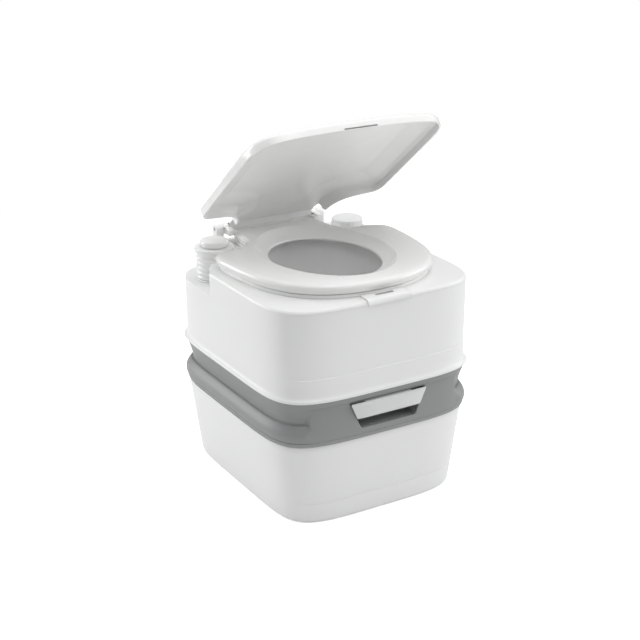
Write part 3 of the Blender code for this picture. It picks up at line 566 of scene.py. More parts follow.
def swing(item: Piece, angle: float) -> Piece:
    """Turn a mesh about the seat's hinge line, which runs along X, by an angle towards the back."""
    points = points_of(item.data) - (0.0, HINGE_Y, HINGE_Z)
    cosine, sine = math.cos(angle), math.sin(angle)
    y, z = points[:, 1].copy(), points[:, 2].copy()
    points[:, 1] = y * cosine + z * sine
    points[:, 2] = z * cosine - y * sine
    item.data.vertices.foreach_set("co", (points + (0.0, HINGE_Y, HINGE_Z)).ravel())
    item.data.update()
    return item


# ---- finishes -----------------------------------------------------------------------
@dataclass(frozen=True)
class Finish:
    """How one moulded, rubber or metal surface looks.

    Sizes of features are in metres; amounts are shares, 0 for none.
    """

    name: str
    slot: str
    colour: tuple[float, float, float]
    roughness: float
    mottle: float = 0.015
    mottle_size: float = 0.060
    grain_size: float = 0.0014
    grain_depth: float = 0.00003
    wave_depth: float = 0.00012
    wave_size: float = 0.070
    scuff: float = 0.05
    wear: float = 0.03
    dust: float = 0.02
    metallic: float = 0.0
    coat: float = 0.0
    subsurface: float = 0.0
    transmission: float = 0.0
    brushed: float = 1.0

    def material(self) -> bpy.types.Material:
        """Return this finish's material, built on first use."""
        found = bpy.data.materials.get(self.name)
        return found if found is not None else self._build()

    def _build(self) -> bpy.types.Material:
        """Wire the shared effect groups into a Principled surface and return the material."""
        material = bpy.data.materials.new(self.name)
        material.use_nodes = True
        tree = material.node_tree
        shader = tree.nodes["Principled BSDF"]
        place = tree.nodes.new("ShaderNodeTexCoord")
        mapping = tree.nodes.new("ShaderNodeMapping")
        fill(mapping, {"Scale": (1.0, 1.0, self.brushed)})
        tree.links.new(place.outputs["Object"], mapping.inputs["Vector"])
        tint = use_group(tree, mottle_group(), mapping, {
            "Colour": (*self.colour, 1.0), "Amount": self.mottle, "Size": self.mottle_size})
        worn = use_group(tree, wear_group(), mapping, {
            "Wear": self.wear, "Scuff": self.scuff, "Dust": self.dust,
            "Roughness": self.roughness})
        relief = use_group(tree, skin_group(), mapping, {
            "Grain size": self.grain_size, "Grain depth": self.grain_depth,
            "Wave size": self.wave_size, "Wave depth": self.wave_depth})
        tree.links.new(tint.outputs["Colour"], worn.inputs["Colour"])
        tree.links.new(worn.outputs["Colour"], shader.inputs["Base Color"])
        tree.links.new(worn.outputs["Roughness"], shader.inputs["Roughness"])
        bump = tree.nodes.new("ShaderNodeBump")
        fill(bump, {"Distance": 1.0, "Strength": 1.0})
        tree.links.new(relief.outputs["Height"], bump.inputs["Height"])
        tree.links.new(bump.outputs["Normal"], shader.inputs["Normal"])
        fill(shader, {"Metallic": self.metallic, "Coat Weight": self.coat, "Coat Roughness": 0.12,
                      "Transmission Weight": self.transmission, "Subsurface Weight": self.subsurface,
                      "Subsurface Radius": (0.006, 0.005, 0.004), "Subsurface Scale": 1.0})
        material.diffuse_color = (*self.colour, 1.0)
        return material


def fill(node: Node, values: dict[str, float | tuple[float, ...]]) -> None:
    """Set a node's unlinked inputs by name."""
    for name, value in values.items():
        node.inputs[name].default_value = value


def use_group(tree: Tree, group: Tree, mapping: Node,
              values: dict[str, float | tuple[float, ...]]) -> Node:
    """Place an effect group in a material with its own values.

    Args:
        tree: The material's node tree.
        group: The shared effect.
        mapping: Node whose Vector output gives the place on the piece.
        values: Values for the group's inputs, by name.

    Returns:
        The group's node.
    """
    node = tree.nodes.new("ShaderNodeGroup")
    node.node_tree = group
    fill(node, values)
    tree.links.new(mapping.outputs["Vector"], node.inputs["Vector"])
    return node


def new_group(name: str, inputs: dict[str, str], outputs: dict[str, str]) -> tuple[Tree, Sockets, Sockets]:
    """Start a shader node group.

    Args:
        name: Name of the group.
        inputs: Socket kinds (Float, Color, Vector) by name.
        outputs: The same for its outputs.

    Returns:
        The group, the sockets that it is given and the sockets that it puts out.
    """
    group = bpy.data.node_groups.new(name, "ShaderNodeTree")
    for kinds, direction in ((inputs, "INPUT"), (outputs, "OUTPUT")):
        for socket, kind in kinds.items():
            group.interface.new_socket(socket, in_out=direction, socket_type=f"NodeSocket{kind}")
    return group, group.nodes.new("NodeGroupInput").outputs, group.nodes.new("NodeGroupOutput").inputs


def wire(group: Tree, kind: str, links: dict[str | int, Socket | float], **settings: str | bool) -> Sockets:
    """Add a node to a group with its settings, links and plain values.

    Args:
        group: The group.
        kind: Blender's name of the node, without ShaderNode.
        links: For each input, the socket that feeds it or its value.
        settings: Attributes of the node.

    Returns:
        The new node's outputs.
    """
    node = group.nodes.new(f"ShaderNode{kind}")
    for key, value in settings.items():
        setattr(node, key, value)
    for key, value in links.items():
        if isinstance(value, Socket):
            group.links.new(value, node.inputs[key])
        else:
            node.inputs[key].default_value = value
    return node.outputs


def maths(group: Tree, operation: str, *values: Socket | float, clamp: bool = False) -> Socket:
    """Work out one sum in a group and return its result."""
    return wire(group, "Math", dict(enumerate(values)), operation=operation, use_clamp=clamp)[0]


def window(group: Tree, value: Socket, low: float, high: float) -> Socket:
    """Rise from 0 to 1 in a straight line between two values of a socket."""
    return wire(group, "MapRange", {"Value": value, "From Min": low, "From Max": high})[0]


def blend(group: Tree, share: Socket, first: Socket, second: tuple[float, ...]) -> Socket:
    """Mix a fixed colour into another by a share."""
    return wire(group, "Mix", {"Factor": share, 6: first, 7: second}, data_type="RGBA")[2]


def noise(group: Tree, vector: Socket, size: Socket | float, detail: float = 2.0) -> Socket:
    """Add a noise whose features have the given size in metres, and return its factor."""
    scale = maths(group, "DIVIDE", 1.0, size)
    return wire(group, "TexNoise", {"Vector": vector, "Scale": scale, "Detail": detail})["Fac"]


@cache
def mottle_group() -> Tree:
    """Return the effect that varies a colour's brightness slowly over the surface."""
    group, given, out = new_group(
        "slow_mottle", {"Vector": "Vector", "Colour": "Color", "Amount": "Float", "Size": "Float"},
        {"Colour": "Color"})
    centred = maths(group, "SUBTRACT", noise(group, given["Vector"], given["Size"]), 0.5)
    level = maths(group, "MULTIPLY_ADD", centred, given["Amount"], 1.0)
    tinted = wire(group, "VectorMath", {0: given["Colour"], "Scale": level}, operation="SCALE")
    group.links.new(tinted["Vector"], out["Colour"])
    return group


@cache
def wear_group() -> Tree:
    """Return the effect of handling: polished edges, fine scuffs and a trace of dust.

    Edges are where the mesh's pointiness is high, scuffs are stretched noise cut off at a
    level, and dust lies where the surface faces up.
    """
    group, given, out = new_group(
        "handling_wear", {"Vector": "Vector", "Colour": "Color", "Wear": "Float", "Scuff": "Float",
                          "Dust": "Float", "Roughness": "Float"},
        {"Colour": "Color", "Roughness": "Float"})
    shape = group.nodes.new("ShaderNodeNewGeometry").outputs
    rubbed = maths(group, "MULTIPLY", window(group, shape["Pointiness"], 0.52, 0.60), given["Wear"])
    lighter = blend(group, rubbed, given["Colour"], (0.92, 0.92, 0.91, 1.0))
    stretched = wire(group, "VectorMath", {0: given["Vector"], 1: (1.0, 0.35, 3.2)}, operation="MULTIPLY")[0]
    streak = window(group, noise(group, stretched, 0.0045, 4.0), 0.58, 0.72)
    scuffed = maths(group, "MULTIPLY", streak, given["Scuff"])
    up = wire(group, "SeparateXYZ", {0: shape["Normal"]})["Z"]
    patch = noise(group, given["Vector"], 0.020, 5.0)
    lying = maths(group, "MULTIPLY", window(group, up, 0.55, 1.0), patch)
    dusty = maths(group, "MULTIPLY", lying, given["Dust"])
    group.links.new(blend(group, dusty, lighter, (0.62, 0.60, 0.57, 1.0)), out["Colour"])
    dull = maths(group, "ADD", maths(group, "ADD", given["Roughness"], scuffed), dusty)
    group.links.new(maths(group, "MULTIPLY_ADD", rubbed, -0.6, dull, clamp=True), out["Roughness"])
    return group


@cache
def skin_group() -> Tree:
    """Return the relief of a moulding: slow waves of the wall, and the fine grain of its tool."""
    group, given, out = new_group(
        "moulded_skin", {"Vector": "Vector", "Grain size": "Float", "Grain depth": "Float",
                         "Wave size": "Float", "Wave depth": "Float"}, {"Height": "Float"})
    fine = noise(group, given["Vector"], given["Grain size"], 3.0)
    slow = noise(group, given["Vector"], given["Wave size"], 0.0)
    grain = maths(group, "MULTIPLY", fine, given["Grain depth"])
    group.links.new(maths(group, "MULTIPLY_ADD", slow, given["Wave depth"], grain), out["Height"])
    return group


WHITE = Finish("white_moulding", "white_plastic", (0.86, 0.865, 0.86), 0.30, subsurface=0.03)
SHELL_WHITE = Finish("white_tank_moulding", "white_plastic", (0.86, 0.865, 0.86), 0.36, wave_depth=0.00020,
                     scuff=0.07, subsurface=0.03)
SEAT_WHITE = Finish("white_seat_moulding", "white_plastic", (0.90, 0.90, 0.895), 0.24, grain_depth=0.000012,
                    wave_depth=0.00006, scuff=0.04, dust=0.0, coat=0.15, subsurface=0.03)
BOWL_WHITE = Finish("bowl_moulding", "bowl_plastic", (0.92, 0.922, 0.92), 0.20, grain_depth=0.000008,
                    wave_depth=0.00010, scuff=0.04, dust=0.0, coat=0.3)
GREY = Finish("grey_grained_moulding", "grey_plastic", (0.283, 0.286, 0.289), 0.46, mottle=0.03,
              grain_size=0.0011, grain_depth=0.00007, wear=0.10, scuff=0.08)
HANDLE_GREY = Finish("light_grey_moulding", "light_grey_plastic", (0.72, 0.73, 0.73), 0.38, mottle=0.02,
                     grain_size=0.0009, grain_depth=0.00003, wave_depth=0.00005, wear=0.06)
RUBBER = Finish("black_rubber_moulding", "black_rubber", (0.024, 0.024, 0.025), 0.72, mottle=0.10,
                mottle_size=0.008, grain_size=0.0006, grain_depth=0.00003, wave_depth=0.0, dust=0.12)
HOSE = Finish("milky_hose", "clear_hose", (0.70, 0.72, 0.72), 0.28, wave_depth=0.0, transmission=0.35)
STEEL = Finish("drawn_steel", "steel", (0.56, 0.56, 0.57), 0.27, mottle=0.06, mottle_size=0.004,
               grain_size=0.0008, grain_depth=0.000008, wave_depth=0.0, metallic=1.0, brushed=0.2)


def hand_over(item: Piece, finish: Finish, body: Body, *nodes: str,
              sharp: float = SHARP_ANGLE) -> Piece:
    """Dress a piece, let it ride on its body and stand for its CAD nodes.

    Args:
        item: The finished piece.
        finish: Its finish.
        body: The CAD body that it moves with.
        nodes: CAD nodes that it stands for.
        sharp: Edges turned by more than this angle stay crisp.

    Returns:
        The piece.
    """
    item.data.materials.clear()
    item.data.materials.append(finish.material())
    item.data.shade_smooth()
    item.data.set_sharp_from_angle(angle=sharp)
    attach(item, body.value)
    if nodes:
        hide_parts(*nodes)
    LOG.info("%s: %d faces, %s", item.name, len(item.data.polygons), finish.name)
    return item


# ---- waste tank ---------------------------------------------------------------------
def tank_half(z: float) -> tuple[float, float]:
    """Return half width and half depth of the plain tank form at a height."""
    levels = (0.0, JOIN_Z, RIM_BOTTOM, 0.2330, TANK_TOP)
    return (float(np.interp(z, levels, (0.168, 0.187, RIM_HALF[0], 0.187, 0.1885))),
            float(np.interp(z, levels, (0.197, 0.2055, RIM_HALF[1], 0.2078, 0.205))))


def tank_surface(levels: Array, depth: Callable[[Array, Array], Array] | Array,
                 form: Array | None = None) -> Array:
    """Skin the tank form: at each level its superellipse, moved in along its normals.

    Args:
        levels: Heights of the rings.
        depth: How far each ring lies inside the form, or a function of (points, height).
        form: Heights at which the form is read, if they aren't the levels.

    Returns:
        Points by ring and station.
    """
    outlines = np.stack([superellipse(tank_half(z)) for z in (levels if form is None else form)])
    normals = np.stack([outline_normals(outline) for outline in outlines])
    inside = depth(outlines, levels[:, None]) if callable(depth) else depth[:, None]
    points = outlines - normals * np.broadcast_to(inside, outlines.shape[:2])[..., None]
    return with_heights(points, levels)


def round_over(radius: float, steps: int = 8) -> Array:
    """Return (depth, rise) rows of a quarter circle that starts flat and ends upright."""
    turn = np.linspace(0.0, np.pi / 2, steps + 1)
    return np.stack([radius * (1 - np.sin(turn)), radius * (1 - np.cos(turn))], axis=1)


@dataclass
class WasteTank:
    """The lower tank: white bucket with a rounded foot, grey top moulding, spring and vent button."""

    foot_radius: float = 0.0085
    fold_z: float = 0.0385
    fold_depth: float = 0.0008
    fold_half: float = 0.0011
    panel_edge: tuple[float, float] = (0.1410, 0.1505)
    groove: Pairs = (
        (0.1460, 0.0062), (0.1475, 0.0054), (0.1530, 0.0036), (0.1540, 0.0037), (0.1546, 0.0043),
        (0.1552, 0.0036), (0.1565, 0.0025), (0.1610, 0.0015), (0.1650, 0.0014), (0.1700, 0.0025),
        (0.1760, 0.0058), (0.1810, 0.0095), (0.1824, 0.0112), (0.1832, 0.0139), (0.1860, 0.0138),
        (0.1940, 0.0126), (0.2060, 0.0092), (0.2140, 0.0060), (0.2190, 0.0040), (0.2222, 0.0030),
        (0.2230, 0.0034))
    panel: Pairs = (
        (0.1460, 0.0062), (0.1475, 0.0054), (0.1530, 0.0034), (0.1540, 0.0035), (0.1546, 0.0040),
        (0.1552, 0.0034), (0.1580, 0.0029), (0.1650, 0.0033), (0.1720, 0.0042), (0.1790, 0.0050),
        (0.1940, 0.0068), (0.2060, 0.0078), (0.2118, 0.0078), (0.2134, 0.0052), (0.2190, 0.0036),
        (0.2222, 0.0030), (0.2230, 0.0034))
    recess_half: float = 0.138
    recess: tuple[float, float, float] = (0.160, 0.1570, 0.2100)
    vent: tuple[float, float] = (0.117, 0.179)
    spout: tuple[float, float] = (-0.108, 0.185)

    def fold(self, points: Array, z: Array) -> Array:
        """Cut a fine fold across the front: a Gaussian groove in height, faded out at the corners."""
        front = ease(0.158, 0.135, np.abs(points[..., 0])) * (points[..., 1] < 0)
        return self.fold_depth * np.exp(-((z - self.fold_z) / self.fold_half) ** 2) * front

    def bucket(self) -> Piece:
        """Build the white bucket: foot rounding, tapered wall with its fold, rim and inner wall."""
        foot = round_over(self.foot_radius)
        fold = self.fold_z + self.fold_half * np.linspace(-3.0, 3.0, 13)
        top = JOIN_Z - GAP
        wall = np.linspace(0.050, top - 0.0010, 9)
        levels = np.concatenate([foot[:, 1], [0.015, 0.025], fold, wall, [top, top]])
        depth = np.zeros(len(levels))
        depth[:len(foot)] = foot[:, 0]
        depth[-2:] = (0.0006, 0.0006 + WALL)
        outer = tank_surface(levels, lambda points, z: depth[:, None] + self.fold(points, z))
        inner = tank_surface(np.array([0.100, 0.050, 0.010, 0.005, WALL]),
                             np.array([WALL, WALL, WALL, 0.0055, 0.010]))
        return hand_over(skin("waste_tank_bucket", np.concatenate([outer, inner])), SHELL_WHITE,
                         Body.WASTE_TANK, "waste_tank_shell")

    def band_depth(self, z: Array, points: Array) -> Array:
        """Depth of the grip band: a finger groove at the sides and back, a flat panel in front."""
        front = ease(self.panel_edge[1], self.panel_edge[0], np.abs(points[:, 0])) * (points[:, 1] < 0)
        return flowing(self.groove, z) * (1 - front) + flowing(self.panel, z) * front

    def band(self, z: Array, extra: float = 0.0) -> Array:
        """Skin the grip band at some heights, moved further in by extra."""
        rim = superellipse(RIM_HALF)
        depth = self.band_depth(z, rim) + extra
        points = rim[None] - outline_normals(rim)[None] * depth[..., None]
        return with_heights(points, z)

    def top(self) -> Piece:
        """Build the grey top moulding: tray, lip, grip band, pull pocket and rear spout bay."""
        rim = superellipse(RIM_HALF)
        tray = courses(rim, ((0.0195, DECK_TOP), (0.0163, DECK_TOP + 0.0010), (0.0155, DECK_TOP + 0.0040),
                             (0.0155, 0.2222), (0.0147, 0.2230)))
        fine = np.unique(np.concatenate([np.linspace(0.1460, 0.2230, 60), np.linspace(0.1525, 0.1570, 13),
                                         np.linspace(0.1805, 0.1840, 12), np.linspace(0.2110, 0.2140, 8)]))
        outer = self.band(fine[::-1])
        inner = [*self.band(np.array([0.1460, 0.1720]), WALL),
                 *courses(rim, ((0.0165, 0.1840), (0.0165, DECK_BOTTOM)))]
        item = skin("waste_tank_grip_band", np.concatenate([np.stack(tray), outer, np.stack(inner)]))
        back_y, floor, roof = self.recess
        pocket_shape = ((-0.0525, 0.1640), (0.0525, 0.1640), (0.0732, 0.2098), (-0.0732, 0.2098))
        wall_shape = ((-0.0545, 0.1610), (0.0545, 0.1610), (0.0762, 0.2110), (-0.0762, 0.2110))
        carve(item, Carve.ADD,
              slab("pocket_wall", np.array(wall_shape), -0.2040, -0.1810, along=Along.Y),
              block("bay_wall", (-self.recess_half - WALL, back_y - WALL, floor - WALL),
                    (self.recess_half + WALL, 0.1950, DECK_BOTTOM + 0.001)))
        carve(item, Carve.ADD, rod("vent_well", (*self.vent, 0.1430), 0.0135, 0.0115))
        carve(item, Carve.CUT,
              slab("pocket", rounded(pocket_shape, (0.004, 0.004, 0.002, 0.002)), -0.230, -0.1840,
                   along=Along.Y),
              slab("bay", rounded(((-self.recess_half, floor), (self.recess_half, floor),
                                   (self.recess_half, roof), (-self.recess_half, roof)), 0.004),
                   back_y, 0.240, along=Along.Y),
              rod("valve_opening", (*OUTLET, 0.200), 0.030, OUTLET_R + 0.001, sides=96),
              block("latch_relief", (-0.0275, 0.2072, 0.2105), (0.0275, 0.230, 0.240)))
        carve(item, Carve.CUT, block("blade_slot", (-0.0465, -0.195, 0.2046), (0.0465, -0.175, 0.2098)),
              rod("vent_bore", (*self.vent, 0.1455), 0.0245, 0.0093),
              rod("turret_hole", (*self.spout, 0.140), 0.030, 0.0192))
        carve(item, Carve.CUT, rod("breather", (*self.vent, 0.140), 0.010, 0.0020, sides=24))
        return hand_over(item, GREY, Body.WASTE_TANK, "waste_tank_top", sharp=math.radians(30.0))

    def button(self) -> Piece:
        """Build the vent button: a dished push face inside a rounded rim."""
        chain = rounded(((0.0080, 0.0), (0.0088, 0.0), (0.0088, 0.0128), (0.0060, 0.0128), (0.0052, 0.0118),
                         (0.0004, 0.0115)), 0.0009, closed=False)
        return hand_over(turned("vent_push_button", chain, (*self.vent, 0.1540), sides=64), HANDLE_GREY,
                         Body.VENT_BUTTON, "vent_button")

    def spring(self) -> Piece:
        """Build the vent spring: a round wire whose middle line climbs evenly round a circle."""
        low, high, radius, wire_r, turns = 0.1458, 0.1537, 0.0060, 0.0006, 3.0
        turn = np.linspace(0.0, 2 * np.pi * turns, 97)[:, None]
        around = np.linspace(0.0, 2 * np.pi, 8, endpoint=False)[None, :]
        out = radius + wire_r * np.cos(around)
        rise = low + wire_r + (high - low - 2 * wire_r) * turn / turn.max() + wire_r * np.sin(around)
        x, y = self.vent
        points = np.stack([x + out * np.cos(turn), y + out * np.sin(turn), rise], axis=-1)
        item = hand_over(skin("vent_return_spring", points), STEEL, Body.WASTE_TANK, "vent_spring")
        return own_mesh(item)

    def lip_seal(self) -> Piece:
        """Build the soft lip that the flush tank's outlet stands on."""
        ring = rounded(((0.0435, DECK_TOP + GAP), (0.0530, DECK_TOP + GAP), (0.0520, 0.2155),
                        (0.0480, FLUSH_FLOOR - GAP), (0.0435, FLUSH_FLOOR - GAP)), 0.0007)
        return hand_over(turned("outlet_lip_seal", ring, (*OUTLET, 0.0), loop=True), RUBBER,
                         Body.WASTE_TANK, "valve_lip_seal")

    def build(self) -> None:
        """Build every piece of the lower tank."""
        self.bucket()
        self.top()
        self.button()
        self.spring()
        self.lip_seal()


@dataclass
class PullHandle:
    """The light grey pull handle of the slide valve."""

    top_half: float = 0.0722
    low_half: float = 0.0605
    z_low: float = 0.1820
    z_high: float = 0.2090
    face_y: float = -0.2128
    thick: float = 0.0042
    end_facet: float = 0.0090
    facet_drop: float = 0.0020

    def build(self) -> Piece:
        """Build the trapezoid: a flat face between two receding end facets, and the web behind it."""
        shape = ((-self.low_half, self.z_low), (self.low_half, self.z_low),
                 (self.top_half, self.z_high), (-self.top_half, self.z_high))
        outline = rounded(shape, 0.0022)
        narrower = 1 - self.end_facet / self.top_half
        back, front = self.face_y + self.thick, self.face_y
        face = inset(outline, 0.0009) * (narrower, 1.0)
        rings = [lifted(inset(outline, 0.0008), back, Along.Y), lifted(outline, back - 0.0008, Along.Y),
                 lifted(outline, front + self.facet_drop + 0.0005, Along.Y),
                 lifted(inset(outline, 0.0003), front + self.facet_drop, Along.Y),
                 lifted(face * (1.012, 1.0), front + 0.00022, Along.Y), lifted(face, front, Along.Y)]
        item = skin("valve_pull_handle", np.stack(rings))
        carve(item, Carve.ADD, block("web", (-0.0440, self.face_y + 0.002, 0.2054),
                                     (0.0440, -0.1868 - GAP, 0.2088)))
        return hand_over(item, HANDLE_GREY, Body.VALVE, "pull_handle", sharp=math.radians(24.0))


@dataclass
class PourSpout:
    """The turning pour-out spout in the rear bay, with its screw cap."""

    centre: tuple[float, float] = (-0.108, 0.185)
    floor: float = 0.1570
    axis_z: float = 0.1835
    end_x: float = 0.070
    wall_r: tuple[float, float] = (0.018, 0.0152)

    def spout(self) -> Piece:
        """Build the elbow: an upright turret with its flange and a hollow arm with an end bead."""
        x, y = self.centre
        turret = rounded(((0.0165, 0.1500), (0.0180, 0.1500), (0.0180, 0.1592), (0.0225, 0.1592),
                          (0.0225, 0.1628), (0.0180, 0.1628), (0.0180, 0.2035), (0.0008, 0.2035)), 0.0018,
                         closed=False)
        item = turned("pour_out_elbow", turret, (x, y, 0.0))
        run = self.end_x - x
        arm = rounded(((0.0160, 0.0), (0.0175, 0.0), (0.0175, run - 0.0250), (0.0182, run - 0.0245),
                       (0.0182, run - 0.0205), (0.0175, run - 0.0200), (0.0175, run), (0.0160, run)), 0.0005,
                      closed=False)
        carve(item, Carve.ADD, turned("arm", arm, (x, y, self.axis_z), Along.X))
        carve(item, Carve.CUT, rod("turret_bore", (x, y, 0.140), 0.0605, self.wall_r[1]))
        carve(item, Carve.CUT, rod("arm_bore", (x + 0.002, y, self.axis_z), run + 0.02, 0.0147, Along.X))
        return hand_over(item, GREY, Body.POUR_SPOUT, "pour_spout")

    def cap(self) -> Piece:
        """Build the screw cap: a cup whose side is ribbed by a rounded square wave round its turn."""
        end = self.end_x + 0.0020
        chain = rounded(((0.0006, 0.0), (0.0181, 0.0), (0.0181, -0.0180), (0.0212, -0.0180), (0.0212, 0.0040),
                         (0.0150, 0.0040), (0.0138, 0.0032), (0.0006, 0.0032)), 0.0010, closed=False)
        item = turned("spout_screw_cap", dense(chain, 0.0010), (end, self.centre[1], self.axis_z),
                      Along.X, 240, ripple=ribs(30, 0.0007, 0.0205, (-0.0165, 0.0025)))
        return hand_over(item, HANDLE_GREY, Body.SPOUT_CAP, "spout_cap")

    def build(self) -> None:
        """Build the spout and its cap."""
        self.spout()
        self.cap()


# ---- flush tank ---------------------------------------------------------------------
@dataclass
class FlushTank:
    """The upper white tank with its hinge posts, pump corner, catch plate and latch."""

    skirt: Pairs = (
        (0.2233, 0.0014), (0.2237, 0.0004), (0.2243, 0.0), (0.2272, 0.0), (0.2281, 0.0005), (0.2290, 0.0018),
        (0.2305, 0.0032), (0.2330, 0.0041), (0.2380, 0.0045), (0.2440, 0.0046))
    shoulder_r: float = 0.0055
    fold_z: float = 0.2612
    fold_step: float = 0.0013
    shelf_z: float = 0.3350
    notch: Pairs = (
        (-0.260, 0.046), (-0.1900, 0.046), (-0.176, 0.070), (-0.160, 0.086), (-0.138, 0.0905),
        (-0.110, 0.0960), (-0.101, 0.1120), (-0.101, 0.170), (-0.101, 0.260))
    pump: tuple[float, float] = (-0.138, 0.127)
    fill: tuple[float, float] = (0.145, 0.153)
    latch_half: float = 0.026
    latch_back: float = 0.2072
    latch_pin: tuple[float, float] = (0.2107, 0.2550)

    def relief(self, points: Array, z: Array) -> Array:
        """Moulded lines of the wall, as depths: a step along the front, a soft edge on the left.

        The step is an S in height, faded out past the corners. The edge on the left is an S
        across a slanting line, faded out away from it.
        """
        x, y = points[..., 0], points[..., 1]
        front = ease(0.178, 0.150, np.abs(x)) * (y < 0)
        step = self.fold_step * ease(self.fold_z - 0.0005, self.fold_z + 0.0005, z) * front
        slant = (y - 0.022) * 0.693 - (z - 0.319) * 0.721
        near = ease(0.060, 0.010, np.abs(slant - 0.004)) * ease(0.262, 0.276, z) * ease(0.330, 0.318, z)
        return step + 0.0007 * ease(-0.0010, 0.0010, slant) * near * (x < 0) * (np.abs(y) < 0.12)

    def outside(self) -> Array:
        """Skin the outside: floor step, skirt rim, flare, wall with its lines, shoulder and top."""
        rim = superellipse(RIM_HALF)
        low = courses(rim, ((0.0175, FLUSH_FLOOR), (0.0170, FLUSH_FLOOR + 0.0006), (0.0170, RIM_BOTTOM)))
        flare = np.unique(np.concatenate([np.array(self.skirt)[:, 0], np.linspace(0.2235, 0.2440, 26)]))
        depth = flowing(self.skirt, flare)[:, 0]
        rim_rows = rim[None] - outline_normals(rim)[None] * depth[:, None, None]
        plain = tank_surface(flare, np.zeros(len(flare)), form=np.maximum(flare, 0.2330))[..., :2]
        blend = ease(0.2290, 0.2420, flare)[:, None, None]
        rows = rim_rows * (1 - blend) + plain * blend
        skirt_rows = with_heights(rows, flare)
        top = 0.3752 - self.shoulder_r
        fold = self.fold_z + np.linspace(-0.0008, 0.0008, 11)
        levels = np.unique(np.concatenate([np.linspace(0.2480, top, 44), fold]))
        wall = tank_surface(levels, self.relief)
        turn = round_over(self.shoulder_r)[::-1]
        shoulder = tank_surface(0.3752 - turn[1:, 1], turn[1:, 0], form=np.full(len(turn) - 1, top))
        crown = tank_surface(np.array([0.3755, TANK_TOP]), np.array([0.011, 0.017]), form=np.full(2, top))
        return np.concatenate([np.stack(low), skirt_rows, wall, shoulder, crown])

    def corner(self, name: str, grow: float, floor: float) -> Piece:
        """Build the tool for the pump's corner: a smooth upright notch from a floor upwards."""
        line = hermite(np.array(self.notch), False, 8)
        outline = np.concatenate([line, [self.notch[-1], (-0.260, 0.260)]])
        return slab(name, outline + outline_normals(outline) * grow, floor, 0.450)

    def shell(self) -> Piece:
        """Build the hollow tank moulding with its posts, openings and bores."""
        item = skin("flush_tank_moulding", self.outside())
        carve(item, Carve.CUT, self.corner("pump_corner", 0.0, self.shelf_z))
        rim = superellipse(RIM_HALF)
        inside = np.concatenate([
            np.stack(courses(rim, ((0.0200, FLUSH_FLOOR + WALL), (0.0200, 0.2290)))),
            tank_surface(np.array([0.2380, 0.3600, 0.3660]), np.array([0.0042, 0.0042, 0.0062])),
            tank_surface(np.array([TANK_TOP - WALL]), np.array([0.0170]))])
        inner_corner = self.corner("inner_corner", WALL, self.shelf_z - WALL)
        carve(item, Carve.CUT, carve(skin("hollow", inside), Carve.CUT, inner_corner))
        foot = TANK_TOP - 0.002
        post = np.concatenate([hinge_arc(0.0, 17), [(HINGE_Y - HINGE_R, foot), (HINGE_Y + HINGE_R, foot)]])
        posts, lugs = [], []
        for side in (-1, 1):
            near, far = sorted((side * 0.0265, side * 0.0295))
            lugs.append(block(f"lug_{side}", (near, 0.2060, self.latch_pin[1] - 0.0040),
                              (far, 0.2127, self.latch_pin[1] + 0.0030)))
            posts.append(slab(f"post_{side}", post, *sorted((side * 0.0950, side * 0.1090)), 0.0006, Along.X))
        seat_line = mirrored(SEAT_HALF)
        mouth = facing(seat_line, (0.1215, 0.1505), OPENING_Y)
        latch_seat = block("latch_seat", (-self.latch_half - 0.004, self.latch_back, 0.2200),
                           (self.latch_half + 0.004, 0.230, self.latch_pin[1] + 0.0070))
        carve(item, Carve.CUT, slab("mouth", mouth, 0.30, 0.40), latch_seat,
              rod("outlet", (*OUTLET, 0.200), 0.030, OUTLET_R + WALL + GAP, sides=96),
              rod("pump_hole", (*self.pump, 0.300), 0.060, 0.0100),
              rod("fill_hole", (*self.fill, 0.350), 0.050, 0.0205),
              block("catch_slot", (-0.017, -0.1930, 0.360), (0.017, -0.1855, 0.390)))
        carve(item, Carve.ADD, *posts, *lugs)
        carve(item, Carve.CUT, hinge_bore(),
              rod("lug_bore", (-0.040, *self.latch_pin), 0.080, 0.0013, Along.X, 16))
        return hand_over(item, SHELL_WHITE, Body.FLUSH_TANK, "flush_tank_shell", sharp=math.radians(32.0))

    def catch_plate(self) -> Piece:
        """Build the lid's catch plate: it lies on the shoulder and its front edge drops over it."""
        side = ((-0.1805, 0.3760), (-0.1990, 0.3756), (-0.2030, 0.3743), (-0.2051, 0.3718), (-0.2058, 0.3688),
                (-0.2072, 0.3688), (-0.2066, 0.3726), (-0.2042, 0.3762), (-0.2000, 0.3781), (-0.1805, 0.3785))
        item = slab("lid_catch_plate", rounded(side, 0.0016), -0.040, 0.040, 0.0005, Along.X)
        carve(item, Carve.CUT, slab("slot", rounded(((-0.017, -0.1930), (0.017, -0.1930), (0.017, -0.1855),
                                                     (-0.017, -0.1855)), 0.0012), 0.370, 0.385))
        return hand_over(item, WHITE, Body.FLUSH_TANK, "catch_plate")

    def latch(self) -> Piece:
        """Build the rear tank latch: a rounded lever with a finger lip and grip grooves."""
        low, high = (-self.latch_half, 0.2087, 0.2125), (self.latch_half, 0.2127, self.latch_pin[1] + 0.0020)
        item = block("tank_latch_lever", low, high, 0.0009, Along.X)
        grooves = [block(f"groove_{k}", (-0.017, 0.2121, 0.2200 + 0.0042 * k),
                         (0.017, 0.2140, 0.2216 + 0.0042 * k)) for k in range(4)]
        carve(item, Carve.CUT, *grooves)
        carve(item, Carve.CUT, rod("bore", (-0.040, *self.latch_pin), 0.080, 0.0013, Along.X, 16))
        return hand_over(item, GREY, Body.TANK_LATCH, "tank_latch")

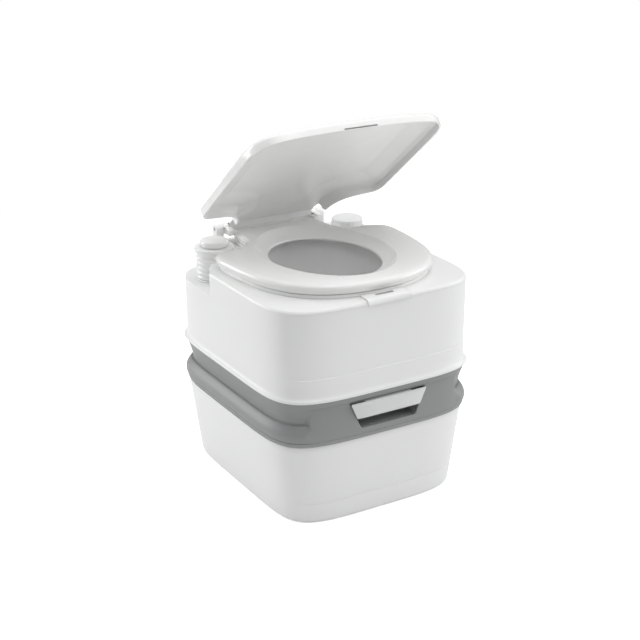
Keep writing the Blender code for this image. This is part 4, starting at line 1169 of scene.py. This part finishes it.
    def pins(self) -> None:
        """Build the two steel hinge pins, with chamfered ends."""
        for side, word in ((-1, "left"), (1, "right")):
            chain = np.array(((0.0024, 0.0), (0.0030, 0.0006), (0.0030, 0.0594), (0.0024, 0.0600)))
            start = (-0.1100 if side < 0 else 0.0500, HINGE_Y, HINGE_Z)
            hand_over(turned(f"hinge_bar_{word}", chain, start, Along.X, 40), STEEL, Body.FLUSH_TANK,
                      f"hinge_pin_{word}")

    def build(self) -> None:
        """Build every piece of the upper tank."""
        self.shell()
        self.catch_plate()
        self.latch()
        self.pins()


@dataclass
class Bowl:
    """The bowl: the flange under the seat, a steep wall, a ledge and the outlet, with its nozzle."""

    inside: Pairs = (
        (0.114, 0.146, -0.008, 0.3815), (0.1118, 0.1438, -0.008, 0.3806), (0.111, 0.143, -0.008, 0.3770),
        (0.105, 0.134, -0.009, 0.3450), (0.098, 0.124, -0.011, 0.3080), (0.0950, 0.1185, -0.012, 0.2965),
        (0.0905, 0.1110, -0.0125, 0.2925), (0.078, 0.094, -0.014, 0.2880), (0.067, 0.079, -0.0155, 0.2790),
        (0.051, 0.055, -0.019, 0.2450), (0.0435, 0.0435, -0.020, 0.2240),
        (0.0430, 0.0430, -0.020, FLUSH_FLOOR))
    outside: Pairs = (
        (0.046, 0.046, -0.020, FLUSH_FLOOR), (0.046, 0.046, -0.020, FLUSH_FLOOR + 0.0050),
        (0.054, 0.058, -0.019, 0.2435), (0.068, 0.079, -0.016, 0.2700), (0.081, 0.097, -0.014, 0.2840),
        (0.0975, 0.1205, -0.012, 0.2925), (0.101, 0.127, -0.011, 0.3080), (0.108, 0.137, -0.009, 0.3450),
        (0.1145, 0.1465, -0.008, TANK_TOP + GAP))

    def build(self) -> None:
        """Build the bowl and its rinse nozzle."""
        line = mirrored(SEAT_HALF)
        flange = shrink(line, FLANGE_INSET)
        edge = courses(flange, ((0.0, TANK_TOP + GAP), (0.0, PLATFORM_TOP - 0.0016),
                                (0.0004, PLATFORM_TOP - 0.0005), (0.0016, PLATFORM_TOP)), shrink)
        walls = [lifted(facing(line, row[:2], row[2]), row[3])
                 for row in (*profile_through(self.inside, 5), *profile_through(self.outside, 3))]
        item = skin("toilet_bowl", np.stack(edge + walls), loop=True)
        carve(item, Carve.CUT, rod("nozzle_hole", (-0.135, -0.020, 0.3600), 0.040, 0.0066, Along.X, 32))
        hand_over(item, BOWL_WHITE, Body.FLUSH_TANK, "bowl")
        chain = rounded(((0.0036, 0.0), (0.0036, 0.0220), (0.0054, 0.0232), (0.0062, 0.0210), (0.0062, 0.0)),
                        0.0006)
        nozzle = turned("rinse_nozzle", chain, (-0.1262, -0.020, 0.3600), Along.X, 48, loop=True)
        hand_over(nozzle, HANDLE_GREY, Body.FLUSH_TANK, "flush_nozzle")


@dataclass
class Pump:
    """The bellows flush pump in the rear left corner."""

    centre: tuple[float, float] = (-0.138, 0.127)
    radius: float = 0.032
    low: float = 0.3378
    high: float = 0.3920
    wall: float = 0.0016
    folds: int = 5
    fold_depth: float = 0.0016
    collar: float = 0.0085
    collar_r: float = 0.0348
    knob_r: float = 0.0245
    knob_top: float = 0.4045

    def bellows(self) -> Piece:
        """Build the bellows: its radius falls by a raised cosine at each fold, under a wide collar."""
        rim = self.high - self.collar
        z = np.linspace(self.low, rim, 81)
        phase = (z - self.low - 0.0020) / (rim - self.low - 0.0030)
        wave = (0.5 - 0.5 * np.cos(2 * np.pi * self.folds * np.clip(phase, 0, 1))) ** 0.7
        ends = 0.0012 * (1 - ease(self.low, self.low + 0.0020, z))
        folds = np.stack([self.radius - self.fold_depth * wave - ends, z], axis=1)
        inner = folds[::-1] - (self.wall, 0.0)
        high = self.high
        collar = rounded(((self.radius, rim), (self.collar_r, rim + 0.0010), (self.collar_r, high - 0.0012),
                          (0.0190, high), (0.0190, high - 0.0018), (self.radius - 0.0030, rim + 0.0030)),
                         0.0012, closed=False)
        profile = np.concatenate([folds[:-1], collar, inner])
        item = turned("pump_bellows_sleeve", profile, (*self.centre, 0.0), sides=120, loop=True)
        hand_over(item, SHELL_WHITE, Body.FLUSH_TANK, "pump_bellows")
        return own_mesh(item)

    def knob(self) -> Piece:
        """Build the push knob: a low dome over a rounded side, with a waist where it meets the bellows."""
        top = self.knob_top
        low = self.high + GAP
        chain = rounded(((0.0230, low), (self.knob_r, low + 0.0030), (self.knob_r, top - 0.0038),
                         (0.0212, top - 0.0010), (0.0120, top - 0.0002), (0.0006, top)), 0.0030, closed=False)
        return hand_over(turned("pump_push_knob", chain, (*self.centre, 0.0), sides=120), SEAT_WHITE,
                         Body.PUMP_KNOB, "pump_knob")

    def build(self) -> None:
        """Build the collar, the bellows and the knob."""
        low = 0.3350 + GAP
        collar = rounded(((0.0060, low), (0.0335, low), (0.0335, 0.3367), (0.0325, 0.3375),
                          (0.0060, 0.3375)), 0.0006)
        hand_over(turned("pump_collar", collar, (*self.centre, 0.0), loop=True), SHELL_WHITE,
                  Body.FLUSH_TANK, "pump_base")
        self.bellows()
        self.knob()


@dataclass
class FillCap:
    """The round cap of the flush tank's filler."""

    centre: tuple[float, float] = (0.145, 0.153)
    radius: float = 0.0285
    top: float = 0.3950

    def build(self) -> None:
        """Build the cap: a cup with a ribbed side and a low dome."""
        chain = rounded(((0.0006, 0.3893), (0.0225, 0.3893), (0.0225, 0.3800), (self.radius, 0.3800),
                         (self.radius, 0.3900), (self.radius - 0.0022, 0.3926), (0.0160, self.top - 0.0004),
                         (0.0006, self.top)), 0.0016, closed=False)
        item = turned("filler_cap", dense(chain, 0.0008), (*self.centre, 0.0), sides=288,
                      ripple=ribs(36, 0.0006, 0.0280, (0.3812, 0.3892)))
        hand_over(item, WHITE, Body.FILL_CAP, "fill_cap")


# ---- seat and lid -------------------------------------------------------------------
@dataclass
class Seat:
    """The seat ring: a narrow outer roll, a broad bevel into the hole, ears and bumpers."""

    ears: tuple[float, float] = (0.0840, 0.0945)
    bottom: float = 0.3830
    crest: Pairs = (
        (0.1100, 0.1445, 0.4000), (0.1092, 0.1437, 0.39985), (0.1084, 0.1429, 0.3994),
        (0.1076, 0.1420, 0.3986), (0.1000, 0.1295, 0.3912), (0.0905, 0.1150, 0.3868),
        (0.0896, 0.1136, 0.3862), (0.0890, 0.1126, 0.3850), (0.0888, 0.1122, 0.3838),
        (0.0890, 0.1124, 0.3830))
    roll: Pairs = (
        (0.0031, 0.3836), (0.0025, 0.3858), (0.0012, 0.3890), (0.0, 0.3920), (0.0002, 0.3940),
        (0.0016, 0.3966), (0.0040, 0.3982))

    def ring(self) -> Array:
        """Skin the ring: outer wall and roll, soft crest, inward bevel, hole edge and hollow."""
        line = mirrored(SEAT_HALF)

        def oval(half_x: float, half_y: float, z: float) -> Array:
            """Ring of an ellipse that faces the seat's outline."""
            return lifted(facing(line, (half_x, half_y), OPENING_Y), z)

        outside = [*courses(line, ((0.0080, self.bottom), (0.0050, self.bottom)), shrink),
                   *courses(line, profile_through(self.roll, 3)),
                   *courses(line, ((0.0072, 0.3990), (0.0090, 0.3992)), shrink)]
        inside = [oval(*row) for row in profile_through(self.crest, 3)]
        under = [oval(0.0925, 0.1160, self.bottom), oval(0.1065, 0.1410, 0.3950),
                 *courses(line, ((0.0120, 0.3950), (0.0110, self.bottom)), shrink)]
        return np.stack(outside + inside + under)

    def build(self) -> None:
        """Build the ring with its ears, then the four bumpers under it."""
        item = skin("seat_ring", self.ring(), loop=True)
        web = np.array(((0.1700, 0.4056), (0.1560, 0.4030), (0.1560, 0.3955), (0.1700, 0.3935)))
        ear = np.concatenate([hinge_arc(-0.5 * np.pi, 25), web])
        for side in (-1, 1):
            near, far = sorted((side * self.ears[0], side * self.ears[1]))
            carve(item, Carve.ADD, slab("ear", ear, near, far, 0.0006, Along.X))
            near, far = sorted((side * 0.0780, side * (self.ears[1] - 0.0003)))
            carve(item, Carve.ADD, block("arm", (near, 0.1563, 0.3930), (far, 0.1735, 0.4020), 0.0012,
                                         Along.X))
        carve(item, Carve.CUT, hinge_bore())
        hand_over(item, SEAT_WHITE, Body.SEAT, "seat", sharp=math.radians(32.0))
        low, high = PLATFORM_TOP + GAP, 0.3947
        chain = rounded(((0.0005, low), (0.0055, low), (0.0055, high), (0.0005, high)), 0.0008, closed=False)
        places = ((-0.1420, 0.020), (0.1420, 0.020), (-0.090, -0.1385), (0.090, -0.1385))
        for number, (x, y) in enumerate(places, 1):
            hand_over(turned(f"seat_foot_{number}", chain, (x, y, 0.0), sides=40), RUBBER,
                      Body.SEAT, f"seat_bumper_{number}")


@dataclass
class Lid:
    """The lid: a crowned shell with an S-shaped neck, a sloping border, a knuckle and a front window.

    It is worked out closed, and its mesh is then turned open about the hinge.
    """

    neck_y: tuple[float, float] = (0.1370, 0.1470)
    barrel_x: float = 0.0830
    thick: float = 0.0023
    border: float = 0.0440
    bend: float = 0.9
    border_top: float = 0.4112
    border_rise: float = 0.0102
    neck_lift: float = 0.0050
    rim_bottom: float = 0.3847
    neck_cut: float = 0.0188
    lift_y: tuple[float, float] = (0.0600, 0.1100)
    crown_rise: float = 0.0022
    inside: float = 0.0055
    fillet: float = 0.0010
    border_round: float = 0.0060
    shares: tuple[float, ...] = (
        0.972, 0.96, 0.94, 0.91, 0.88, 0.84, 0.80, 0.775, 0.76, 0.75, 0.74, 0.725, 0.70, 0.66, 0.60,
        0.52, 0.44, 0.34, 0.24, 0.14, 0.06, 0.015)

    def edge_height(self, points: Array) -> Array:
        """Height of the rim's upper edge: z = top - rise, lifted towards the neck."""
        return self.border_top - self.border_rise + self.neck_lift * ease(*self.lift_y, points[:, 1])

    def top_height(self, deep: Array, points: Array) -> Array:
        """Height of the top at a distance inside the outline: a sloping border, then a low crown."""
        slope = np.clip(deep / self.border, 0.0, 1.0)
        past = np.clip((slope - self.bend) / (1 - self.bend), 0, 1)
        soft = np.where(slope < self.bend, slope, self.bend + (1 - self.bend) * (1 - (1 - past) ** 2) * 0.75)
        crown = ease(self.border, 0.165, deep)
        edge = self.edge_height(points)
        return edge + (self.border_top - edge) * soft + self.crown_rise * crown

    def rings(self) -> Array:
        """Skin the shell from the middle of its underside, round the rim, to the middle of its top."""
        line = mirrored(LID_HALF)
        neck = ease(*self.neck_y, line[:, 1])
        low = self.rim_bottom + self.neck_cut * neck
        radius = self.border_round - 0.0030 * neck
        turn = np.linspace(0.0, np.pi / 2, 9)[1:]
        edge = self.edge_height(line)
        corner = courses(line, [(radius * (1 - np.cos(t)), edge - radius * (1 - np.sin(t))) for t in turn])
        closed = np.concatenate([line, line[:1]])
        start, step = closed[:-1], np.diff(closed, axis=0)
        square = (step ** 2).sum(1)

        def distance(points: Array) -> Array:
            """Distance of each point from the outline: the least over its straight pieces."""
            offset = points[:, None] - start[None]
            along = np.clip((offset * step).sum(2) / square, 0.0, 1.0)
            return np.sqrt(((offset - along[..., None] * step) ** 2).sum(2)).min(1)

        top, under = [], []
        for share in self.shares:
            points = MIDDLE + (inset(line, radius) - MIDDLE) * share
            top.append(lifted(points, self.top_height(np.maximum(distance(points) - radius, 0.0), points)))
        for share in self.shares[::-1]:
            points = MIDDLE + (inset(line, self.inside) - MIDDLE) * share
            away = distance(points)
            fillet = self.fillet * ease(self.border_round, 0.0, away - self.inside)
            height = self.top_height(np.maximum(away - radius, 0.0), points)
            under.append(lifted(points, height - self.thick - fillet))
        shoulder = 0.3890 * (1 - neck) + (low + 0.0005) * neck
        wall = courses(line, (
            (0.0040, 0.3955 + 0.0083 * neck), (0.0033, 0.3930 + 0.0103 * neck),
            (0.0030, np.maximum(low + 0.0005, shoulder)), (0.0030, low + 0.0003), (0.0026, low),
            (0.0005, low), (0.0, low + 0.0005), (0.0, 0.5 * (low + edge - radius)), (0.0, edge - radius)))
        return np.stack(under + wall + corner + top)

    def build(self) -> None:
        """Build the shell with its long knuckle and front window, and the catch strip in it, which stands for
        the lid's catch and whose dark grey paints shade into the window's slot.
        """
        item = skin("lid_shell", self.rings())
        web = np.array(((0.1740, 0.4076), (0.1720, 0.4040), (0.1760, 0.3950)))
        knuckle = np.concatenate([hinge_arc(-0.5 * np.pi, 25), web])
        carve(item, Carve.ADD, slab("knuckle", knuckle, -self.barrel_x, self.barrel_x, 0.0006, Along.X))
        window = rounded(((-0.0305, 0.3853), (0.0305, 0.3853), (0.0305, 0.3881), (-0.0305, 0.3881)), 0.0008)
        carve(item, Carve.CUT, hinge_bore(),
              slab("front_window", window, -0.1950, -0.1885, along=Along.Y))
        hand_over(swing(item, LID_OPEN), SEAT_WHITE, Body.LID, "lid", sharp=math.radians(32.0))
        # The strip stands for the lid's catch; its dark grey is painted shade that makes the slot read darker
        # than the window's own shade.
        catch_shade_strip = block("lid_catch_and_slot_shade_strip", (-0.0302, -0.1919, 0.3856), (0.0302, -0.1902, 0.3878), 0.0003,
                      Along.X)
        hand_over(swing(catch_shade_strip, LID_OPEN), GREY, Body.LID, "lid_catch")


# ---- carried-over parts and the studio ----------------------------------------------
CARRIED = {
    "valve_guide": GREY, "valve_blade": WHITE, "spout_seal": RUBBER, "spout_cap_washer": RUBBER,
    "pump_stub": SHELL_WHITE, "flush_hose": HOSE, "fill_neck": SHELL_WHITE, "fill_cap_seal": RUBBER,
    "latch_pin": STEEL}


def dress_carried(nodes: dict[str, Piece]) -> None:
    """Give every hidden CAD part that keeps its shape its own finish."""
    for name, finish in CARRIED.items():
        for slot in nodes[name].material_slots:
            slot.material = finish.material()


@dataclass
class Studio:
    """A white seamless floor, large soft lights and the camera."""

    eye: Point = (-1.119, -1.861, 1.100)
    aim: Point = (0.0, 0.0, 0.2)
    lens: float = 76.35
    shift: tuple[float, float] = (-0.0033, 0.0594)
    floor_half: float = 1.8
    floor_lift: float = 0.60
    surround: float = 0.30
    left_watts: float = 37.0
    right_watts: float = 25.0
    top_watts: float = 30.0
    front_watts: float = 14.0

    def floor(self) -> None:
        """Lay a plain floor under the object."""
        outline = self.floor_half * np.array(((-1.0, -1.0), (1.0, -1.0), (1.0, 1.0), (-1.0, 1.0)))
        item = slab("studio_floor", outline, -0.020, 0.0)
        material = bpy.data.materials.new("studio_paper")
        material.use_nodes = True
        shader = material.node_tree.nodes["Principled BSDF"]
        fill(shader, {"Base Color": (0.93, 0.93, 0.93, 1.0), "Roughness": 0.9, "Specular IOR Level": 0.1,
                      "Emission Color": (1.0, 1.0, 1.0, 1.0)})
        seen = material.node_tree.nodes.new("ShaderNodeLightPath")
        lift = material.node_tree.nodes.new("ShaderNodeMath")
        lift.operation = "MULTIPLY"
        lift.inputs[1].default_value = self.floor_lift
        material.node_tree.links.new(seen.outputs["Is Camera Ray"], lift.inputs[0])
        material.node_tree.links.new(lift.outputs[0], shader.inputs["Emission Strength"])
        item.data.materials.append(material)

    def panel(self, name: str, place: Point, size: tuple[float, float], watts: float) -> None:
        """Hang a rectangular soft light that faces the middle of the object."""
        lamp = bpy.data.lights.new(name, "AREA")
        lamp.shape = "RECTANGLE"
        lamp.size, lamp.size_y = size
        lamp.energy = watts
        item = bpy.data.objects.new(name, lamp)
        item.location = place
        item.rotation_euler = (Vector((0.0, 0.0, 0.25)) - Vector(place)).to_track_quat("-Z", "Y").to_euler()
        bpy.context.scene.collection.objects.link(item)

    def light(self) -> None:
        """Light from the left, the right, above and high in front, over a soft white surround."""
        world = bpy.data.worlds.new("studio_surround")
        bpy.context.scene.world = world
        world.use_nodes = True
        ground = world.node_tree.nodes["Background"]
        fill(ground, {"Color": (1.0, 1.0, 1.0, 1.0)})
        seen = world.node_tree.nodes.new("ShaderNodeLightPath")
        level = world.node_tree.nodes.new("ShaderNodeMapRange")
        fill(level, {"To Min": self.surround, "To Max": 1.0})
        world.node_tree.links.new(seen.outputs["Is Camera Ray"], level.inputs["Value"])
        world.node_tree.links.new(level.outputs["Result"], ground.inputs["Strength"])
        self.panel("left_light", (-1.9, 2.1, 0.9), (1.2, 1.4), self.left_watts)
        self.panel("right_light", (2.3, -1.0, 1.0), (1.6, 1.4), self.right_watts)
        self.panel("top_light", (0.2, 0.2, 2.4), (2.2, 2.2), self.top_watts)
        self.panel("front_light", (-0.4, -1.3, 2.3), (1.8, 1.8), self.front_watts)

    def camera(self) -> None:
        """Set the camera."""
        data = bpy.data.cameras.new("studio_camera")
        data.lens, data.sensor_width = self.lens, 36.0
        data.shift_x, data.shift_y = self.shift
        item = bpy.data.objects.new("studio_camera", data)
        item.location = self.eye
        item.rotation_euler = (Vector(self.aim) - Vector(self.eye)).to_track_quat("-Z", "Y").to_euler()
        bpy.context.scene.collection.objects.link(item)
        bpy.context.scene.camera = item

    def build(self) -> None:
        """Set up the floor, the lights and the camera."""
        bpy.context.scene.view_settings.view_transform = "Standard"
        self.floor()
        self.light()
        self.camera()


def main() -> None:
    """Load the frame, build every piece in order and log each new piece's face count."""
    logging.basicConfig(level=logging.INFO, format="%(name)s %(message)s")
    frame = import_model()
    for assembly in (WasteTank(), PullHandle(), PourSpout(), FlushTank(), Bowl(), Pump(), FillCap(), Seat(),
                     Lid()):
        assembly.build()
    dress_carried(frame["nodes"])
    Studio().build()
    bpy.context.view_layer.update()


if __name__ == "__main__":
    main()
